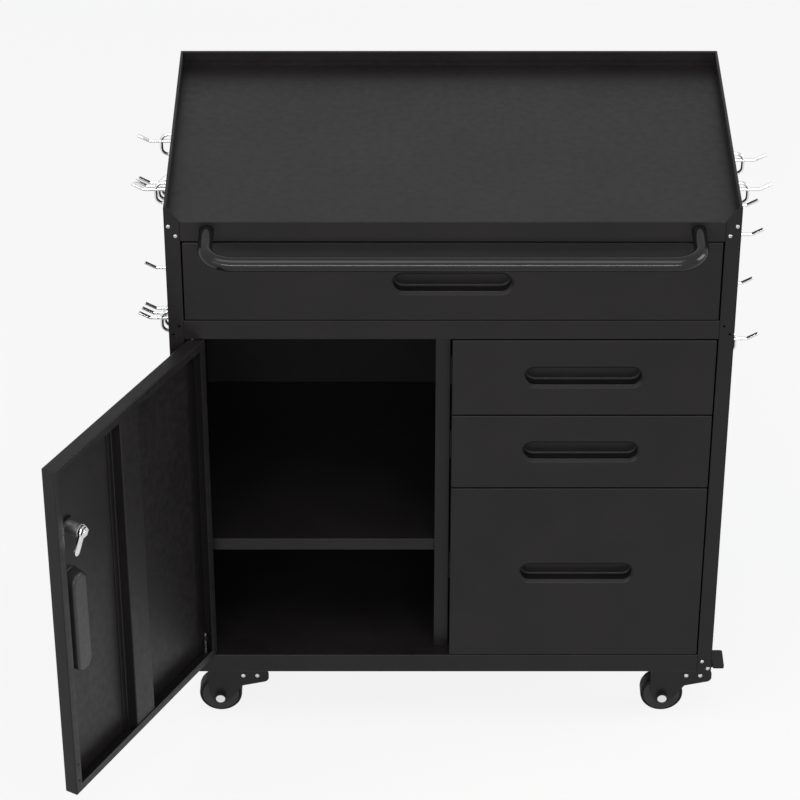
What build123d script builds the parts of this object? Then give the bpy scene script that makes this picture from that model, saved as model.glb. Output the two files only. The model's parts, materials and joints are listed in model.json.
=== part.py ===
"""Rolling tool cabinet in folded sheet steel.

A perforated-side cabinet on four casters: one full-width drawer, three stacked
drawers on the right, a swing door with a cam lock on the left, a tray top with
low walls and a bent-tube push handle.  Millimetres, +Z up, +Y towards the back.
The origin is on the floor under the middle of the cabinet body.
"""
import os
from math import atan2, cos, degrees, hypot, radians, sin
from build123d import *

# Overall size of the sheet-metal body
WIDTH = 750.0
DEPTH = 420.0
BODY_H = 774.5
CASTER_H = 99.0

# Sheet gauges and the small gaps everything else is tied to
SHEET = 1.2
BOX_SHEET = 1.0
RUN_GAP = 0.3
SEAT_GAP = 0.1
SHAFT_GAP = 0.05
FRONT_GAP = 1.0
SIDE_GAP = 1.7
RAIL_GAP = 2.1

# Front frame, from the tray's walls down; the deep drawer takes what is left
STILE_W = 20.4
TRAY_WALL_H = 22.0
TOP_RAIL_H = 30.3
DRAWER_1_H = 123.3
MID_RAIL_H = 29.4
DRAWER_2_H = 123.5
DRAWER_3_H = 121.4
BOTTOM_RAIL_H = 30.5
LIP_D = 15.0
EAR_TOP_W = 3.0
HEM_W = 3.8
HEM_LEG = 14.0

# Divider between the door compartment and the drawers
DIVIDER_X = -1.4
DIVIDER_SET_BACK = 22.0
DIVIDER_FLANGE_X = -20.5
DIVIDER_HEM = 6.0
RIGHT_BAY_X = -0.5

# Shelf in the door compartment
SHELF_Z = 215.0
SHELF_LIP = 19.5
SHELF_SET_BACK = 30.0

# Door and drawer fronts are shallow pans of the same depth
PAN_D = 19.0
EDGE_R = 1.5
DOOR_SIDE_GAP = 2.1
DOOR_RIGHT = -2.0
DOOR_GAP = 1.2
DOOR_LIP = 13.0
DOOR_OPEN_DEG = 120.0
PIVOT_EDGE = 8.0
PIVOT_IN = 4.0

# Recessed finger cups
CUP_L = 164.0
CUP_H = 36.0
CUP_BEVEL = 4.5
BEVEL_D = 3.2
CUP_WALL = 1.0
CUP_BACK = 18.6
CUP_TAPER = 6.0
WIDE_CUP_LIFT = -3.3
CUP_LIFT = 0.6
DOOR_CUP_IN = 41.5
DOOR_CUP_DOWN = 267.9

# Cam lock in the door
LOCK_IN = 42.0
LOCK_DOWN = 117.5
BARREL_D = 19.0
BEZEL_D = 23.0
BEZEL_T = 2.5
PLUG_D = 12.0
CAM_L = 33.0
CAM_T = 2.5
CAM_W = 11.0
CAM_BOSS_D = 17.0
CAM_IN = 25.0
CAM_REST_DEG = 58.0
NUT_AF = 13.0

# Drawers and their slides
BOX_BACK = 398.0
SLIDE_D = 12.5
SLIDE_H = 45.0
SLIDE_START = 22.0
RUNNER_H = 32.0
BOX_CLEAR_LOW = 12.0
BOX_CLEAR_TOP = 18.0

# Push handle
HANDLE_D = 20.0
HANDLE_WALL = 1.5
HANDLE_INSET = 55.0
HANDLE_REACH = 79.0
HANDLE_DOWN = 15.5
HANDLE_BEND = 38.0

# Peg holes and wire hooks on a one-inch grid
PEG_PITCH = 25.4
PEG_D = 7.0
PEG_FIRST_Y = 50.8
PEG_TOP = 34.0
PEG_MARGIN = 38.0
HOOK_WIRE_D = 5.0
BRACE_WIRE_D = 4.6
HOOK_OUT = 33.0
HOOK_ARM = 17.5
HOOK_RISE_DEG = 29.0
BRACE_OUT = 17.0
BRACE_UP = 10.0
BRACE_DOWN = 21.0

# Which peg holes carry a hook: columns from the front, rows from the top
HOOKS_LEFT = ((2, 0), (4, 1), (6, 2), (7, 0), (2, 8), (4, 9), (6, 10), (7, 8))
HOOKS_RIGHT = ((5, 0), (2, 0), (7, 4), (4, 4), (7, 9), (3, 10))

# Screws and plain holes of the front posts, in from the side and off the nearest rail
SCREW_D = 5.6
SCREW_HOLE_D = 3.3
SCREW_SHANK_D = 3.0
TOP_SCREWS = ((14.4, 21.3), (5.6, 6.8))
LOW_SCREWS = ((13.6, 19.4), (5.0, 6.5))
MID_HOLES = ((14.2, 8.7), (6.0, 21.3))
MID_HOLE_D = 3.4

# Door stiffener, pivots and the two small holes in the free edge's lip
STIFFENER_IN = 170.5
STIFFENER_W = 43.0
STIFFENER_FLANGE = 10.0
LIP_HOLE_Z_1 = 53.0
LIP_HOLE_Z_2 = 81.0
PIVOT_D = 5.0
LOWER_PIN_D = 3.4
SPRING_D = 5.2
SPRING_WIRE = 0.7
SPRING_H = 25.0

# Casters
CASTER_SIDE = 56.3
CASTER_INSET = 45.0
TRAIL = 8.9
WHEEL_D = 61.0
WHEEL_W = 25.0
WHEEL_R = WHEEL_D / 2
AXLE_D = 8.0
CAP_D = 15.4
CAP_T = 7.0
PLATE_L = 72.0
PLATE_W = 64.0
PLATE_T = 3.0
RACE_D = 50.0
RACE_T = 6.0
KINGPIN_D = 12.0
FORK_T = 2.5
FORK_IN = 14.0
BOLT_D = 6.0
BOLT_X = 28.0
BOLT_Y = 24.0
RIVET_D = 5.0
RIVET_HEAD_D = 6.6
BRAKE_Z = -30.2
RIVET_1_X = 24.7
RIVET_2_X = 44.8
CHANNEL_W = 76.0
CHANNEL_T = 2.0
PEDAL_TRAVEL_DEG = 14.0
NOSE_T = 5.0
PAD_X = 61.9
PAD_L = 16.2
PAD_W = 38.4
PAD_T = 3.0
PAD_TOP = -12.3
PEDAL_RISE = 9.0
CHEEK_R = 4.0
TAIL_X = 61.3
TAIL_R = 8.0
RECESS_D = 1.0

# Derived planes
FRONT = -DEPTH / 2
BACK = DEPTH / 2
BASE = CASTER_H
HALF = WIDTH / 2
OPENING = HALF - STILE_W
TRAY_H = BODY_H - TRAY_WALL_H
TOP_RAIL_LOW = TRAY_H - TOP_RAIL_H
MID_RAIL_TOP = TOP_RAIL_LOW - DRAWER_1_H
MID_RAIL_LOW = MID_RAIL_TOP - MID_RAIL_H
DRAWER_2_LOW = MID_RAIL_LOW - DRAWER_2_H
DRAWER_3_LOW = DRAWER_2_LOW - DRAWER_3_H
SCREWS = (
    [(HALF - inward, TRAY_H - down) for inward, down in TOP_SCREWS]
    + [(HALF - inward, up) for inward, up in LOW_SCREWS]
)
HANDLE_X = HALF - HANDLE_INSET
HANDLE_Z = TRAY_H - HANDLE_DOWN
DOOR_LEFT = DOOR_SIDE_GAP - OPENING
DOOR_CUP_X = DOOR_RIGHT - DOOR_CUP_IN
DOOR_CUP_Z = MID_RAIL_LOW - DOOR_CUP_DOWN
LOCK_X = DOOR_RIGHT - LOCK_IN
LOCK_Z = MID_RAIL_LOW - LOCK_DOWN
STIFFENER_X = DOOR_RIGHT - STIFFENER_IN
PIVOT_X = DOOR_LEFT + PIVOT_EDGE
PIVOT_Y = FRONT + PIVOT_IN
PEG_COLS = int((DEPTH - PEG_FIRST_Y - PEG_MARGIN) // PEG_PITCH) + 1
PEG_ROWS = int((BODY_H - PEG_TOP - PEG_MARGIN) // PEG_PITCH) + 1
CASTER_X = HALF - CASTER_SIDE
DOOR_LOW = BASE + BOTTOM_RAIL_H + DOOR_GAP
DOOR_TOP = BASE + MID_RAIL_LOW - DOOR_GAP
CASTER_YS = (FRONT + CASTER_INSET, BACK - CASTER_INSET)
AXLE_Z = WHEEL_R - CASTER_H


def block(x0, x1, y0, y1, z0, z1):
    """Box between two corners, given in either order along X."""
    lo, hi = min(x0, x1), max(x0, x1)
    return Pos(lo, y0, z0) * Box(hi - lo, y1 - y0, z1 - z0, align=(Align.MIN,) * 3)


def rod_z(x, y, z0, z1, dia):
    """Upright cylinder."""
    low = (Align.CENTER, Align.CENTER, Align.MIN)
    return Pos(x, y, z0) * Cylinder(dia / 2, z1 - z0, align=low)


def rod_y(x, z, y0, y1, dia):
    """Cylinder running front to back."""
    low = (Align.CENTER, Align.CENTER, Align.MIN)
    return Pos(x, y0, z) * Rot(-90, 0, 0) * Cylinder(dia / 2, y1 - y0, align=low)


def slot_y(x, z, y0, y1, length, height, upright=False, taper=0.0):
    """Racetrack prism running front to back, drawn in toward the back by taper."""
    turn = 90 if upright else 0
    shape = SlotOverall(length, height, rotation=turn)
    prism = extrude(shape, y1 - y0, taper=taper)
    return Pos(x, y0, z) * Rot(-90, 0, 0) * prism


def group(solids):
    """Separate pieces of one kind kept together in one node."""
    return Compound(children=list(solids))


def save(name, shape):
    """Write one node."""
    shape.label = name
    export_step(shape, f"parts/{name}.step")


# Cabinet body

def side_frame(side):
    """Front post with its cut ear, inner liner and rear flange, one folded sheet."""
    inner = side * OPENING
    liner = side * (OPENING + SHEET)
    outer = side * (HALF - SHEET)
    ear = side * (HALF - SHEET - EAR_TOP_W)
    low = BASE
    top = BASE + BODY_H
    face_points = [(inner, low), (outer, low), (outer, top), (ear, top), (inner, BASE + TRAY_H + SEAT_GAP)]
    face = make_face(Polyline(*face_points, close=True))
    post = Pos(0, FRONT + SHEET, 0) * Rot(90, 0, 0) * extrude(face, SHEET)
    wall_low = BASE + BOTTOM_RAIL_H
    wall_top = BASE + TRAY_H - SHEET
    wall = block(inner, liner, FRONT, BACK - SHEET, wall_low, wall_top)
    flange = block(liner, side * (HALF - SHEET - SEAT_GAP), BACK - 2 * SHEET, BACK - SHEET, wall_low, wall_top)
    part = post + wall + flange
    for x, z in SCREWS:
        part -= rod_y(side * x, BASE + z, FRONT - 1, FRONT + 3, SCREW_HOLE_D)
    for inward, down in MID_HOLES:
        part -= rod_y(side * (HALF - inward), BASE + MID_RAIL_TOP - down, FRONT - 1, FRONT + 3, MID_HOLE_D)
    return part


def peg_place(col, row):
    """Centre of one peg hole, back from the front and up from the body underside."""
    return PEG_FIRST_Y + col * PEG_PITCH, BODY_H - PEG_TOP - row * PEG_PITCH


def side_skin(side):
    """Perforated outer sheet with a hem folded over the tray wall."""
    outer = side * HALF
    inner = side * (HALF - SHEET)
    sketch = Rectangle(DEPTH, BODY_H, align=(Align.MIN, Align.MIN))
    grid = [peg_place(col, row) for col in range(PEG_COLS) for row in range(PEG_ROWS)]
    sketch -= [Pos(u, v) * Circle(PEG_D / 2) for u, v in grid]
    plane = Plane(origin=(min(outer, inner), FRONT, BASE), x_dir=(0, 1, 0), z_dir=(1, 0, 0))
    sheet = extrude(plane * sketch, SHEET)
    top = BASE + BODY_H
    leg = side * (HALF - HEM_W)
    y0 = FRONT + SHEET + SEAT_GAP
    y1 = BACK - SHEET - SEAT_GAP
    cap = block(outer, leg, y0, y1, top - SHEET, top)
    fold = block(leg, side * (HALF - HEM_W + SHEET), y0, y1 - SHEET, top - HEM_LEG, top)
    return sheet + cap + fold


def back_panel():
    """Flat rear sheet with the same hem along its top edge."""
    x = HALF - SHEET
    hem_x = HALF - HEM_W - SEAT_GAP
    top = BASE + BODY_H
    sheet = block(-x, x, BACK - SHEET, BACK, BASE, top)
    cap = block(-hem_x, hem_x, BACK - HEM_W, BACK, top - SHEET, top)
    fold = block(-hem_x, hem_x, BACK - HEM_W, BACK - HEM_W + SHEET, top - HEM_LEG, top)
    return sheet + cap + fold


def front_flange(z_low, z_top, lip_at_bottom=True):
    """Rail face bent down from a deck, with its stiffening lip."""
    x = OPENING - SEAT_GAP
    face = block(-x, x, FRONT, FRONT + SHEET, z_low, z_top)
    lip = block(-x, x, FRONT, FRONT + LIP_D, z_low, z_low + SHEET)
    return face + lip if lip_at_bottom else face


def top_panel():
    """Tray floor, three low walls and the top rail bent down at the front."""
    x = HALF - SHEET - SEAT_GAP
    y0 = FRONT + SHEET + SEAT_GAP
    y1 = BACK - SHEET
    z1 = BASE + TRAY_H
    wall_top = BASE + BODY_H - SHEET - SEAT_GAP
    floor = block(-x, x, y0, y1, z1 - SHEET, z1)
    nose = block(-OPENING + SEAT_GAP, OPENING - SEAT_GAP, FRONT, y0, z1 - SHEET, z1)
    rail = front_flange(BASE + TOP_RAIL_LOW, z1)
    shell = floor + nose + rail
    bend = [e for e in shell.edges().filter_by(Axis.X)
            if abs(e.center().Y - FRONT) < 0.01 and abs(e.center().Z - z1) < 0.01]
    shell = fillet(bend, SHEET)
    for side in (-1, 1):
        shell += block(side * x, side * (x - SHEET), y0, y1, z1 - SHEET, wall_top)
        shell -= rod_y(side * HANDLE_X, BASE + HANDLE_Z, FRONT - 1, FRONT + 3, HANDLE_D + 2 * RUN_GAP)
    shell += block(-x, x, y1 - SHEET, y1, z1 - SHEET, wall_top)
    return shell


def mid_deck():
    """Deck under the wide drawer, with the middle rail bent down at the front."""
    x = OPENING - SEAT_GAP
    y1 = BACK - 2 * SHEET
    z1 = BASE + MID_RAIL_TOP
    deck = block(-x, x, FRONT, y1, z1 - SHEET, z1)
    part = deck + front_flange(BASE + MID_RAIL_LOW, z1)
    for side in (-1, 1):
        part += block(side * x, side * (x - SHEET), FRONT + 2 * LIP_D, y1, z1 - LIP_D, z1)
    part -= rod_z(PIVOT_X, PIVOT_Y, z1 - 2 * STILE_W, z1 - 10, PIVOT_D + 2 * SHAFT_GAP)
    return part


def bottom_pan():
    """Compartment floor with the bottom rail bent down at the front."""
    x = OPENING - SEAT_GAP
    wing = HALF - SHEET - SEAT_GAP
    z1 = BASE + BOTTOM_RAIL_H
    y1 = BACK - SHEET
    deck = block(-x, x, FRONT, y1, z1 - SHEET, z1)
    deck += block(-wing, wing, FRONT + SHEET + SEAT_GAP, y1, z1 - SHEET, z1)
    part = deck + front_flange(BASE, z1)
    part -= rod_z(PIVOT_X, PIVOT_Y, z1 - 10, z1 + 1, LOWER_PIN_D + 2 * SHAFT_GAP)
    return part


def base_channels():
    """Two front-to-back channels under the floor that carry the casters."""
    channels = []
    for side in (-1, 1):
        x0 = side * CASTER_X - CHANNEL_W / 2
        x1 = x0 + CHANNEL_W
        y0 = FRONT + LIP_D + 2
        y1 = BACK - SHEET - 2
        z1 = BASE + BOTTOM_RAIL_H - SHEET
        web = block(x0, x1, y0, y1, BASE, BASE + CHANNEL_T)
        walls = block(x0, x0 + CHANNEL_T, y0, y1, BASE, z1) + block(x1 - CHANNEL_T, x1, y0, y1, BASE, z1)
        part = web + walls
        for dx, dy in bolt_offsets():
            part -= at_front(side, rod_z(dx, dy, -1, 4, BOLT_D + 0.4))
            part -= at_rear(side, rod_z(dx, dy, -1, 4, BOLT_D + 0.4))
        channels.append(part)
    return group(channels)


def divider_panel():
    """Upright sheet between door bay and drawers; its front flange stops the door."""
    x1 = DIVIDER_X + SHEET
    y0 = FRONT + DIVIDER_SET_BACK
    y1 = BACK - 2 * SHEET - SEAT_GAP
    z0 = BASE + BOTTOM_RAIL_H
    z1 = BASE + MID_RAIL_TOP - SHEET
    sheet = block(DIVIDER_X, x1, y0, y1, z0, z1)
    flange = block(DIVIDER_FLANGE_X, x1, y0, y0 + SHEET, z0, z1)
    hem = block(DIVIDER_FLANGE_X, DIVIDER_FLANGE_X + DIVIDER_HEM, y0, y0 + 2 * SHEET, z0, z1)
    foot = block(DIVIDER_X - LIP_D, x1, y0 + LIP_D, y1, z0, z0 + SHEET)
    head = block(DIVIDER_X - LIP_D, x1, y0 + LIP_D, y1, z1 - SHEET, z1)
    return sheet + flange + hem + foot + head


def compartment_shelf():
    """Shelf with folded edges between the liner and the divider."""
    x0 = -OPENING + 2 * SEAT_GAP
    x1 = DIVIDER_X - 2 * SEAT_GAP
    y0 = FRONT + SHELF_SET_BACK
    y1 = BACK - 2 * SHEET - 2 * SEAT_GAP
    z1 = BASE + SHELF_Z
    part = block(x0, x1, y0, y1, z1 - BOX_SHEET, z1)
    part += block(x0, x1, y0, y0 + BOX_SHEET, z1 - SHELF_LIP, z1)
    part += block(x0, x1, y0, y0 + 8, z1 - SHELF_LIP, z1 - SHELF_LIP + BOX_SHEET)
    part += block(x0, x0 + BOX_SHEET, y0, y1, z1 - LIP_D, z1)
    part += block(x1 - BOX_SHEET, x1, y0, y1, z1 - LIP_D, z1)
    part += block(x0, x1, y1 - BOX_SHEET, y1, z1 - LIP_D, z1)
    return part


def push_handle():
    """Bent tube with a plate welded on each end behind the top rail."""
    y_in = FRONT + SHEET + 0.5
    y_out = FRONT - HANDLE_REACH
    path = Polyline((-HANDLE_X, y_in, 0), (-HANDLE_X, y_out, 0), (HANDLE_X, y_out, 0), (HANDLE_X, y_in, 0))
    path = fillet(path.vertices().sort_by(Axis.Y)[:2], HANDLE_BEND)
    start = Plane(origin=(-HANDLE_X, y_in, 0), z_dir=(0, -1, 0))
    ring = Circle(HANDLE_D / 2) - Circle(HANDLE_D / 2 - HANDLE_WALL)
    tube = Pos(0, 0, BASE + HANDLE_Z) * sweep(start * ring, path=path)
    for side in (-1, 1):
        x = side * HANDLE_X
        z = BASE + HANDLE_Z
        tube += block(x - 20, x + 20, FRONT + SHEET, FRONT + SHEET + 2, z - 13, z + 13)
    return tube


def frame_screws():
    """Pan-head screws through the posts, each with its nut behind."""
    solids = []
    for side in (-1, 1):
        for x, z in SCREWS:
            centre = side * x
            height = BASE + z
            head = rod_y(centre, height, FRONT - 2.2, FRONT, SCREW_D)
            head = fillet(head.edges().sort_by(Axis.Y)[:1], 1.4)
            shank = rod_y(centre, height, FRONT, FRONT + 5, SCREW_SHANK_D)
            nut_d = min(SCREW_D - 0.4, 2 * (HALF - SHEET - x) - 0.4)
            nut = rod_y(centre, height, FRONT + SHEET, FRONT + SHEET + 2.4, nut_d)
            solids.append(head + shank + nut)
    return group(solids)


def hook(side, y, z):
    """One bent-wire hook with its brace, caught behind the skin."""
    root = side * HALF
    rise = radians(HOOK_RISE_DEG)
    knee = root + side * HOOK_OUT
    tip = (knee + side * HOOK_ARM * cos(rise), y, z + HOOK_ARM * sin(rise))
    behind = root - side * 8.0
    path = Polyline((behind, y, z + 9.0), (behind, y, z), (knee, y, z), tip)
    corners = [v for v in path.vertices() if abs(v.Z - z) < 0.01]
    path = fillet(corners, 5.5)
    start = Plane(origin=(behind, y, z + 9.0), z_dir=(0, 0, -1))
    wire = sweep(start * Circle(HOOK_WIRE_D / 2), path=path)
    near = root + side * SEAT_GAP
    far = root + side * BRACE_OUT
    loop = Polyline((near, y, z + BRACE_UP), (far, y, z + BRACE_UP),
                    (far, y, z - BRACE_DOWN), (near, y, z - BRACE_DOWN))
    bends = [v for v in loop.vertices() if abs(v.X - far) < 0.01]
    loop = fillet(bends, BRACE_UP - BRACE_WIRE_D / 2)
    loop_start = Plane(origin=(near, y, z + BRACE_UP), z_dir=(side, 0, 0))
    return wire + sweep(loop_start * Circle(BRACE_WIRE_D / 2), path=loop)


def hooks(side, places):
    """All hooks of one side."""
    solids = []
    for col, row in places:
        u, v = peg_place(col, row)
        solids.append(hook(side, FRONT + u, BASE + v))
    return group(solids)


# Recessed cup shared by the door and every drawer

def cup_opening(x, z, upright):
    """Tool that cuts the cup's racetrack through a front."""
    return slot_y(x, z, FRONT - 1, FRONT + BEVEL_D + 2, CUP_L - 0.2, CUP_H - 0.2, upright)


def cup_ring(x, z, upright):
    """Bevelled ring pressed into a front around the cup."""
    angle = degrees(atan2(CUP_BEVEL, BEVEL_D))
    ring = slot_y(x, z, FRONT, FRONT + BEVEL_D, CUP_L + 1, CUP_H + 1, upright)
    bevel = slot_y(x, z, FRONT, FRONT + BEVEL_D, CUP_L, CUP_H, upright, taper=angle)
    return ring - bevel


def handle_cup(x, z, upright=False):
    """Drawn cup fixed behind the ring; fingers hook behind the ring's edge."""
    y0 = FRONT + BEVEL_D
    y1 = FRONT + CUP_BACK
    outer = slot_y(x, z, y0, y1, CUP_L - 2, CUP_H - 2, upright, taper=CUP_TAPER)
    inner = slot_y(x, z, y0 - 0.01, y1 - CUP_WALL, CUP_L - 2 - 2 * CUP_WALL, CUP_H - 2 - 2 * CUP_WALL,
                   upright, taper=CUP_TAPER)
    return outer - inner


def pan(x0, x1, z0, z1):
    """Front sheet folded back on all four sides."""
    shell = block(x0, x1, FRONT, FRONT + PAN_D, z0, z1)
    face = shell.faces().sort_by(Axis.Y)[0]
    shell = fillet(face.edges(), EDGE_R)
    return shell - block(x0 + SHEET, x1 - SHEET, FRONT + SHEET, FRONT + PAN_D + 1, z0 + SHEET, z1 - SHEET)


def cupped(shell, x, z, upright=False):
    """A front with the cup's ring worked into it."""
    return shell - cup_opening(x, z, upright) + cup_ring(x, z, upright)


# Drawers

class Drawer:
    """Opening of one drawer, its cup and how tall its box is."""

    def __init__(self, number, x0, z0, z1, cup_lift, top_gap):
        box_h = z1 - z0 - BOX_CLEAR_LOW - BOX_CLEAR_TOP
        self.name = f"drawer_{number}"
        self.x0 = x0
        self.x1 = OPENING
        self.z0 = BASE + z0
        self.z1 = BASE + z1
        self.front = (x0 + SIDE_GAP, OPENING - SIDE_GAP, self.z0 + FRONT_GAP, self.z1 - top_gap)
        self.cup_x = (x0 + OPENING) / 2
        self.cup_z = BASE + (z0 + z1) / 2 + cup_lift
        self.wall_x0 = -OPENING if x0 < DIVIDER_X else DIVIDER_X + SHEET
        self.wall_x1 = OPENING
        self.box_x0 = self.wall_x0 + SLIDE_D
        self.box_x1 = self.wall_x1 - SLIDE_D
        self.box_z0 = self.z0 + BOX_CLEAR_LOW
        self.box_z1 = self.box_z0 + box_h
        self.slide_z = self.box_z0 + box_h / 2


DRAWERS = (
    Drawer(1, -OPENING, MID_RAIL_TOP, TOP_RAIL_LOW, WIDE_CUP_LIFT, RAIL_GAP),
    Drawer(2, RIGHT_BAY_X, DRAWER_2_LOW, MID_RAIL_LOW, CUP_LIFT, RAIL_GAP),
    Drawer(3, RIGHT_BAY_X, DRAWER_3_LOW, DRAWER_2_LOW, CUP_LIFT, FRONT_GAP),
    Drawer(4, RIGHT_BAY_X, BOTTOM_RAIL_H, DRAWER_3_LOW, CUP_LIFT, FRONT_GAP),
)


def drawer_front(d):
    """Folded front pan with its pressed cup ring."""
    return cupped(pan(*d.front), d.cup_x, d.cup_z)


def drawer_box(d):
    """Open steel box with rolled top edges, joined to the back of the front pan."""
    t = BOX_SHEET
    y0 = FRONT + PAN_D
    y1 = FRONT + BOX_BACK
    outer = block(d.box_x0, d.box_x1, y0, y1, d.box_z0, d.box_z1)
    inner = block(d.box_x0 + t, d.box_x1 - t, y0 + t, y1 - t, d.box_z0 + t, d.box_z1 + 1)
    rim = block(d.box_x0, d.box_x1, y0, y1, d.box_z1 - 3 * t, d.box_z1)
    rim -= block(d.box_x0 + 3 * t, d.box_x1 - 3 * t, y0 + 3 * t, y1 - 3 * t, d.box_z0, d.box_z1 + 1)
    x0, x1, z0, z1 = d.front
    flange = block(x0 + 2 * t, x1 - 2 * t, y0, y0 + t, z0 + 2 * t, z1 - 2 * t)
    return outer - inner + rim + flange


def wall_rails(d):
    """Pair of cabinet slide members, C-shaped and open toward the drawer."""
    rails = []
    half = SLIDE_H / 2
    t = SHEET
    y0 = FRONT + SLIDE_START
    y1 = FRONT + BOX_BACK
    for wall, inward in ((d.wall_x0, 1), (d.wall_x1, -1)):
        lip = wall + inward * (SLIDE_D - t - RUN_GAP)
        edge = wall + inward * (SLIDE_D - RUN_GAP)
        rail = block(wall, wall + inward * t, y0, y1, d.slide_z - half, d.slide_z + half)
        for s in (-1, 1):
            z_out = d.slide_z + s * half
            z_in = d.slide_z + s * (half - t)
            z_lip = d.slide_z + s * (RUNNER_H / 2 + 1.5)
            rail += block(wall, edge, y0, y1, min(z_out, z_in), max(z_out, z_in))
            rail += block(lip, edge, y0, y1, min(z_out, z_lip), max(z_out, z_lip))
        rails.append(rail)
    return group(rails)


def runners(d):
    """Pair of drawer slide members riding inside the wall rails."""
    members = []
    half = RUNNER_H / 2
    t = SHEET
    y0 = FRONT + SLIDE_START
    y1 = FRONT + BOX_BACK
    for face, outward in ((d.box_x0, -1), (d.box_x1, 1)):
        member = block(face, face + outward * t, y0, y1, d.slide_z - half, d.slide_z + half)
        reach = face + outward * 8.0
        for s in (-1, 1):
            z_out = d.slide_z + s * half
            z_in = d.slide_z + s * (half - t)
            z_ball = d.slide_z + s * (SLIDE_H / 2 - t - RUN_GAP)
            member += block(face, reach, y0, y1, min(z_out, z_in), max(z_out, z_in))
            member += block(reach, reach - outward * 2 * t, y0, y1, min(z_out, z_ball), max(z_out, z_ball))
        members.append(member)
    return group(members)


# Door, drawn closed and then swung open about its pivots

def swing(shape):
    """Turn a door piece from closed to its open rest position."""
    return Pos(PIVOT_X, PIVOT_Y, 0) * Rot(0, 0, -DOOR_OPEN_DEG) * Pos(-PIVOT_X, -PIVOT_Y, 0) * shape


def door_shell():
    """Folded door pan with return lips, cup ring and the holes of pivots and lock."""
    shell = pan(DOOR_LEFT, DOOR_RIGHT, DOOR_LOW, DOOR_TOP)
    y1 = FRONT + PAN_D
    lips = block(DOOR_LEFT, DOOR_RIGHT, y1 - SHEET, y1, DOOR_LOW, DOOR_TOP)
    lips -= block(DOOR_LEFT + DOOR_LIP, DOOR_RIGHT - DOOR_LIP, y1 - 2, y1 + 1, DOOR_LOW + DOOR_LIP,
                  DOOR_TOP - DOOR_LIP)
    shell = cupped(shell + lips, DOOR_CUP_X, BASE + DOOR_CUP_Z, upright=True)
    shell -= rod_y(LOCK_X, BASE + LOCK_Z, FRONT - 1, FRONT + 3, BARREL_D + 0.2)
    shell -= rod_z(PIVOT_X, PIVOT_Y, DOOR_TOP - 3, DOOR_TOP + 1, PIVOT_D + 2 * SHAFT_GAP)
    shell -= rod_z(PIVOT_X, PIVOT_Y, DOOR_LOW - 1, DOOR_LOW + 3, LOWER_PIN_D + 2 * SHAFT_GAP)
    for z in (LIP_HOLE_Z_1, LIP_HOLE_Z_2):
        shell -= rod_y(DOOR_RIGHT - 7.5, BASE + z, y1 - 3, y1 + 1, 3.2)
    shell -= rod_z(DOOR_RIGHT - 17.0, y1 - 5.0, DOOR_LOW - 1, DOOR_LOW + 3, 4.5)
    return shell


def door_stiffener():
    """Hat channel welded to the inside of the door skin."""
    y0 = FRONT + SHEET
    y1 = FRONT + PAN_D - SHEET - SEAT_GAP
    z0 = DOOR_LOW + SHEET + SEAT_GAP
    z1 = DOOR_TOP - SHEET - SEAT_GAP
    half = STIFFENER_W / 2
    t = BOX_SHEET
    body = block(STIFFENER_X - half, STIFFENER_X + half, y0, y1, z0, z1)
    body -= block(STIFFENER_X - half + t, STIFFENER_X + half - t, y0 - 1, y1 - t, z0 - 1, z1 + 1)
    wide = half + STIFFENER_FLANGE
    feet = block(STIFFENER_X - wide, STIFFENER_X - half, y0, y0 + t, z0, z1)
    feet += block(STIFFENER_X + half, STIFFENER_X + wide, y0, y0 + t, z0, z1)
    return body + feet


def lock_barrel():
    """Fixed lock body through the door skin."""
    z = BASE + LOCK_Z
    body = rod_y(LOCK_X, z, FRONT, FRONT + CAM_IN - 0.5, BARREL_D)
    bezel = rod_y(LOCK_X, z, FRONT - BEZEL_T, FRONT, BEZEL_D)
    bezel = fillet(bezel.edges().sort_by(Axis.Y)[:1], 1.0)
    bore = rod_y(LOCK_X, z, FRONT - 4, FRONT + 30, PLUG_D + 2 * SHAFT_GAP)
    return body + bezel - bore


def lock_nut():
    """Hex nut that clamps the lock body to the skin."""
    z = BASE + LOCK_Z
    hexagon = extrude(RegularPolygon(12.6, 6, major_radius=False), 4.0)
    nut = Pos(LOCK_X, FRONT + SHEET, z) * Rot(-90, 0, 0) * hexagon
    return nut - rod_y(LOCK_X, z, FRONT, FRONT + 8, BARREL_D + 0.1)


def lock_plug():
    """Turning key plug with its keyway, square end and retaining nut."""
    z = BASE + LOCK_Z
    plug = rod_y(LOCK_X, z, FRONT - BEZEL_T - 0.5, FRONT + CAM_IN, PLUG_D)
    plug -= block(LOCK_X - 0.8, LOCK_X + 0.8, FRONT - BEZEL_T - 1, FRONT + 8, z - 4, z + 4)
    end = rod_y(LOCK_X, z, FRONT + CAM_IN, FRONT + CAM_IN + CAM_T + 4.5, 7.0)
    hexagon = extrude(RegularPolygon(NUT_AF / 2, 6, major_radius=False), 3.5)
    nut = Pos(LOCK_X, FRONT + CAM_IN + CAM_T, z) * Rot(-90, 0, 0) * hexagon
    return plug + end + nut


def lock_cam():
    """Latch plate on the end of the plug."""
    z = BASE + LOCK_Z
    y0 = FRONT + CAM_IN
    boss = rod_y(0, 0, y0, y0 + CAM_T, CAM_BOSS_D)
    arm = block(0, CAM_L - CAM_W / 2, y0, y0 + CAM_T, -CAM_W / 2, CAM_W / 2)
    tip = rod_y(CAM_L - CAM_W / 2, 0, y0, y0 + CAM_T, CAM_W)
    cam = boss + arm + tip - rod_y(0, 0, y0 - 1, y0 + 9, 7.0 + 2 * SHAFT_GAP)
    return Pos(LOCK_X, 0, z) * Rot(0, CAM_REST_DEG, 0) * cam


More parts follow.
